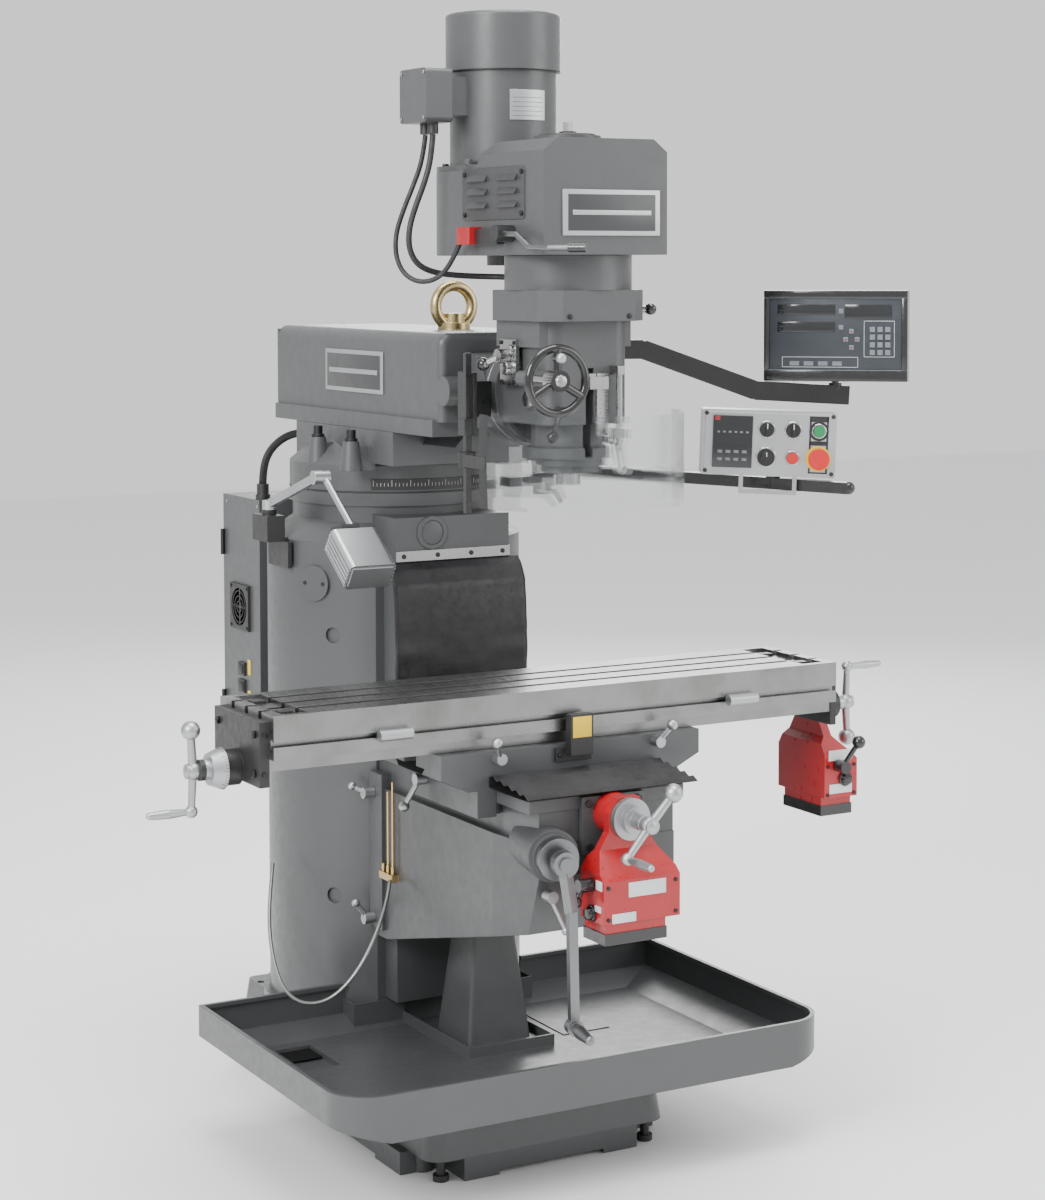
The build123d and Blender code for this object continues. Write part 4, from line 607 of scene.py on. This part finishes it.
def facing(centre, turn, roll=0.0):
    """Frame of a front panel: +X right, +Y up, +Z out of the face, in metres."""
    a, r = math.radians(turn), math.radians(roll)
    x = Vector((math.cos(a) * math.cos(r), -math.sin(a) * math.cos(r), -math.sin(r)))
    z = Vector((-math.sin(a), -math.cos(a), 0))
    m = Matrix((x, z.cross(x), z)).transposed().to_4x4()
    m.translation = centre
    return m


def mm(*values):
    """Millimetres to metres."""
    return tuple(v * MM for v in values)


def plate(name, material, body, boxes, place=None, bevel=0.0008):
    piece = Piece(place)
    for lo, hi in boxes:
        piece.box(mm(*lo), mm(*hi), bevel)
    piece.done(name, material, body)


def screws(name, body, points, axis, r=4.0, h=3.0, material="blackox", place=None):
    piece = Piece(place)
    for p in points:
        piece.screw(mm(*p), axis, r * MM, h * MM)
    piece.done(name, material, body)


def name_plates():
    """Blank raised plates where the machine carries its badges and labels."""
    plate("head_badge", "badge", "head", [((-97, -718, 1853), (118, -713.6, 1940))],
          bevel=0.0035)
    plate("head_badge_field", "louvre", "head", [((-86, -718.8, 1862), (107, -717, 1931))],
          bevel=0.002)
    plate("head_badge_bar", "badge", "head",
          [((-76, -719.6, 1892), (97, -718, 1901))], bevel=0.0006)
    plate("ram_badge", "badge", "ram", [((-161, -77, 1528), (-156.8, 205, 1618))],
          bevel=0.0035)
    plate("ram_badge_field", "louvre", "ram", [((-161.8, -66, 1537), (-160, 194, 1609))],
          bevel=0.002)
    plate("ram_badge_bar", "badge", "ram", [((-162.6, -54, 1568), (-161, 182, 1578))],
          bevel=0.0006)
    tag = Piece()
    tag.band(MOTOR_AXIS, MOTOR_R, -112, -70, 2.086, 2.146)
    tag.done("motor_tag", "badge", "head")
    lines = Piece()
    for k in range(5):
        lines.band(MOTOR_AXIS, MOTOR_R + 0.0009, -109, -73, 2.094 + 0.009 * k, 2.0948 + 0.009 * k, 0.0002)
    lines.done("motor_tag_lines", "louvre", "head")
    plate("table_stop_label", "yellow", "saddle", [((-18, -619.2, 880), (24, -617.6, 921))])
    plate("outlet_labels", "yellow", "base", [((-198.4, 546, 852), (-196.8, 562, 888)),
                                                               ((-198.4, 546, 804), (-196.8, 562, 816))])


def head_details():
    """Screws, bosses, marks and rings on the head and its motor."""
    screws("louvre_screws", "head", [(-138, y, z) for y in (-632, -404) for z in (1896, 1975)], TO_LEFT, 5)
    screws("gear_case_screws", "head", [(x, -690, 1700) for x in (-66, 66)], TO_FRONT, 5)
    screws("terminal_box_screws", "head", [(-205, y, z) for y in (-360, -262) for z in (2089, 2178)], TO_LEFT,
           4,
           2.5, "steel")
    screws("feed_plate_screws", "head", [(-112, y, z) for y in (-556, -504) for z in (1572, 1648)], TO_LEFT,
           4)
    screws("motor_plate_screws", "head",
           [(-88, -390, 1997), (88, -390, 1997), (-100, -250, 1997), (100, -250, 1997)],
           UP, 7, 6)
    knob = Piece()
    knob.rod(mm(-112, -530, 1600), mm(-122, -530, 1600), 0.016, 0.014)
    knob.rod(mm(-112, -545, 1634), mm(-119, -545, 1634), 0.011, 0.009)
    knob.rod(mm(-94, -590, 1540), mm(-104, -590, 1540), 0.019, 0.017)
    knob.done("feed_bosses", "steel", "head")
    ring = Piece()
    ring.washer(mm(0, -429.8, 1547), TO_FRONT, 0.098, 0.1068, 0.006, 72)
    ring.done("tilt_ring", "steel", "head")
    scale = Piece()
    for k in range(21):
        wide = 10 if k % 5 == 0 else 5
        scale.box(mm(36 - wide, -656.5, 1476 + 5.4 * k), mm(36, -655.9, 1476.8 + 5.4 * k), 0)
    scale.done("depth_scale_marks", "dark", "head")
    nuts = Piece()
    for x, z in ((-62, 1600), (62, 1600), (-62, 1494), (62, 1494)):
        nuts.rod(mm(x, -466.5, z), mm(x, -480, z), 0.013, sides=6)
    nuts.rod(mm(0, -570, 2047), mm(0, -570, 2056), 0.017, sides=6)
    nuts.done("head_bolts", "blackox", "head")
    cap = Piece()
    cap.washer(mm(0, -570, 2047), UP, 0.019, 0.055, 0.004)
    cap.done("brake_cap", "louvre", "head")
    seam = Piece()
    seam.washer(mm(0, -311, 2185.2), UP, 0.1083, 0.1158, 0.0018, 96)
    seam.done("cowl_seam", "dark", "head")
    hub = Piece()
    hub.rod(mm(-124, -756, 1582), mm(-124, -761, 1582), 0.013, 0.010)
    hub.done("handwheel_hub", "steel", "feed_handwheel")


def turret_details():
    """Degree scale and seam round the turret."""
    band = Piece()
    band.band(TURRET_AXIS, TURRET_R, -128, -52, 1.320, 1.344)
    band.done("degree_band", "dark", "turret")
    ticks = Piece()
    for k in range(38):
        a = -127 + 2 * k
        top = 1.341 if k % 5 == 0 else 1.335
        ticks.band(TURRET_AXIS, TURRET_R + 0.0009, a, a + 0.25, 1.328, top, 0.0003, 1)
    ticks.done("degree_marks", "white", "turret")
    groove = Piece()
    groove.band(TURRET_AXIS, TURRET_R, 0, 360, 1.3145, 1.3165, 0.0012, 120)
    groove.done("turret_seam", "dark", "turret")


def column_details():
    """Small fittings on the column and its electrical cabinet."""
    screws("strip_screws", "base", [(x, -89, 1187) for x in (-118, -38, 42, 118)], TO_FRONT, 5, 2)
    a = math.radians(27)
    c, d = -math.cos(a), -math.sin(a)
    points = [((279 + 5) * c + 24 * t * d, 200 + (279 + 5) * d - 24 * t * c, 1122) for t in (-1, 1)]
    screws("disc_screws", "base", points, (c, d, 0), 4, 2)
    boss = Piece()
    boss.washer(mm(-49, -84, 1234), TO_FRONT, 0.026, 0.036, 0.003)
    boss.rod(mm(-49, -83.5, 1234), mm(-49, -85.5, 1234), 0.0255)
    boss.done("column_boss", "cast", "base")
    faces = Piece()
    for z in (823, 863):
        faces.box(mm(-204.6, 577, z - 11), mm(-203, 603, z + 11), 0.004)
    faces.done("outlet_faces", "blackox", "base")
    screws("cabinet_screws", "base", [(-197, y, z) for y in (500, 678) for z in (716, 1248)], TO_LEFT, 4, 2,
           "steel")
    screws("fan_screws", "base", [(-204, 597 + y, 1007 + z) for y in (-46, 46) for z in (-46, 46)], TO_LEFT,
           4, 2)


def console_details():
    """Bezel, screens, keys and outlines on the display console."""
    place = facing(mm(695, -500, 1648), 44)
    plate("console_bezel", "black", "dro_console",
          [((-151, 79.5, -21.5), (151, 95.5, 22)), ((-151, -95.5, -21.5), (151, -71.5, 22)),
           ((-151, -72, -21.5), (-138.5, 80, 22)), ((138.5, -72, -21.5), (151, 80, 22)),
           ((-150, -95, -22.5), (150, 95, -20.5))], place, 0.0025)
    plate("console_panel", "pale", "dro_console",
          [((-138.6, -71.6, 17.6), (138.6, 79.6, 18.4))], place)
    plate("console_screens", "screen", "dro_console",
          [((-122, 44, 18.2), (0, 66, 19.4)), ((-122, 8, 18.2), (0, 30, 19.4)),
           ((20, 36, 18.2), (118, 66, 19.4))], place)
    plate("console_keys", "key", "dro_console",
          [((x - 5, y - 5, 18.2), (x + 5, y + 5, 20)) for x, y in
           ((12, 52), (12, 18), (34, 10), (34, -24), (22, -7), (46, -7))], place, 0.001)
    plate("console_arrows", "red", "dro_console",
          [((x - 1.6, y - 1.6, 20), (x + 1.6, y + 1.6, 20.4)) for x,
           y in ((34, 10), (34, -24), (22, -7), (46, -7))],
          place, 0.0003)
    outline = []
    for (a, b), (c, d) in (((60, -44), (124, 32)), ((-112, -66), (48, -44))):
        outline += [((a, b, 18.3), (c, b + 1, 18.9)), ((a, d - 1, 18.3), (c, d, 18.9)),
                    ((a, b, 18.3), (a + 1, d, 18.9)), ((c - 1, b, 18.3), (c, d, 18.9))]
    plate("console_outlines", "white", "dro_console", outline, place, 0)

def panel_details():
    """Screen, strip, rings and pointer marks on the control panel."""
    place = facing(mm(540, -477, 1425), 29, 2.1)
    plate("panel_screen", "screen", "panel", [((-118.5, -52.5, 1.2), (-35.5, 56.5, 7.2))],
          place, 0.0015)
    plate("panel_header", "red", "panel", [((-116, 46, 7), (-104, 54, 7.6))], place, 0.0004)
    digits = [((-110 + 12 * k, 20, 7), (-104 + 12 * k, 24, 7.5)) for k in range(6)]
    digits += [((-108 + 17 * k, -22, 7), (-98 + 17 * k, -16, 7.5)) for k in range(4)]
    digits += [((-108 + 17 * k, -38, 7), (-98 + 17 * k, -32, 7.5)) for k in range(4)]
    plate("panel_marks", "key", "panel", digits, place, 0.0003)
    strip = Piece(place)
    strip.box(mm(83, 48, 1.4), mm(123, 60, 2.4))
    strip.box(mm(83, -60, 1.4), mm(123, -57, 2.4))
    strip.box(mm(83, -1, 1.4), mm(123, 8, 2.4))
    strip.box(mm(83, -60, 1.4), mm(87, 60, 2.4))
    strip.box(mm(119, -60, 1.4), mm(123, 60, 2.4))
    strip.washer(mm(103, 29, 1.4), UP, 0.0068, 0.0205, 0.0012)
    strip.done("panel_strip", "dark", "panel")
    ring = Piece(place)
    ring.washer(mm(103, -29, 1.4), UP, 0.0068, 0.0265, 0.003)
    ring.done("estop_ring", "yellow", "panel")
    rings = Piece(place)
    for u, v, r in ((-6, 29, 15.5), (49, 29, 15.5), (-6, -29, 18.5), (49, -29, 12.5), (103, 29, 12.5)):
        rings.washer(mm(u, v, 1.4), UP, r * MM, (r + 3) * MM, 0.0025)
    rings.done("panel_rings", "chrome", "panel")
    screws("panel_screws", "panel", [(x, y, 1.5) for x in (-132, 132) for y in (-60, 60)], UP, 4.5, 2.5,
           "dark", place)
    for body, u in (("left_selector", -6), ("right_selector", 49)):
        plate(body + "_mark", "white", body, [((u - 1, 31, 16.7), (u + 1, 42, 17.2))], place,
              0.0003)
    plate("speed_dial_mark", "white", "speed_dial", [((-7, -27, 18.7), (-5, -18, 19.2))],
          place, 0.0003)


def table_details():
    """Screws on the table ends, and the X dial's marks and nut."""
    screws("bracket_screws_left", "table", [(-655, y, z) for y in (-545, -372) for z in (862, 935)], TO_LEFT,
           7, 6)
    screws("bracket_screws_front", "table", [(-645, -566, z) for z in (862, 935)], TO_FRONT, 5, 3)
    screws("stop_screws", "saddle", [(x, -598, 845) for x in (-36, 30)], TO_FRONT, 4, 3)
    dials = Piece()
    for k in range(40):
        a = 2 * math.pi * k / 40
        long = 10 if k % 5 == 0 else 6
        c, d = math.cos(a), math.sin(a)
        inner = X_DIAL_R - 0.37 * long
        dials.rod(mm(-685.8, X_DIAL_Y + X_DIAL_R * c, X_DIAL_Z + X_DIAL_R * d),
                  mm(-685.8 - long, X_DIAL_Y + inner * c, X_DIAL_Z + inner * d), 0.0004, bevel=0, sides=6)
    dials.done("x_dial_marks", "dark", "x_screw")
    sleeve = Piece()
    sleeve.washer(mm(-723, X_DIAL_Y, X_DIAL_Z), TO_LEFT, 0.0132, 0.020, 0.014)
    sleeve.done("x_dial_nut", "dark", "x_screw")


def feed_details():
    """Labels, dials and screws on the two power feeds."""
    plate("y_feed_labels", "white", "knee",
          [((-66, -844.6, 572), (-14, -842.8, 590)), ((-30, -844.6, 618), (52, -842.8, 646))])
    plate("y_feed_side_label", "white", "knee", [((-85.6, -834, 592), (-83.8, -812, 604)),
                                                                  ((-85.6, -838, 634), (-83.8, -816, 652))])
    plate("x_feed_labels", "white", "table",
          [((648, -544.6, 756), (708, -542.8, 778)), ((650, -544.6, 686), (708, -542.8, 706))])
    knobs = Piece()
    knobs.rod(mm(-84, -800, 586), mm(-98, -800, 586), 0.013, 0.011)
    knobs.rod(mm(-84, -800, 586), mm(-88, -800, 586), 0.016)
    knobs.done("y_feed_dial", "black", "knee")
    knobs = Piece()
    knobs.rod(mm(690, -543, 716), mm(690, -556, 716), 0.013, 0.011)
    knobs.rod(mm(690, -543, 716), mm(690, -547, 716), 0.016)
    knobs.done("x_feed_dial", "black", "table")
    screws("y_feed_screws", "knee", [(x, -843, z) for x in (-74, 74) for z in (580, 640)], TO_FRONT, 4, 2)
    screws("x_feed_screws", "table", [(x, -543, z) for x in (646, 714) for z in (684, 744)], TO_FRONT, 4, 2)


camera()
studio()
cords()
coat_all()
way_covers()
name_plates()
head_details()
turret_details()
column_details()
console_details()
panel_details()
table_details()
feed_details()
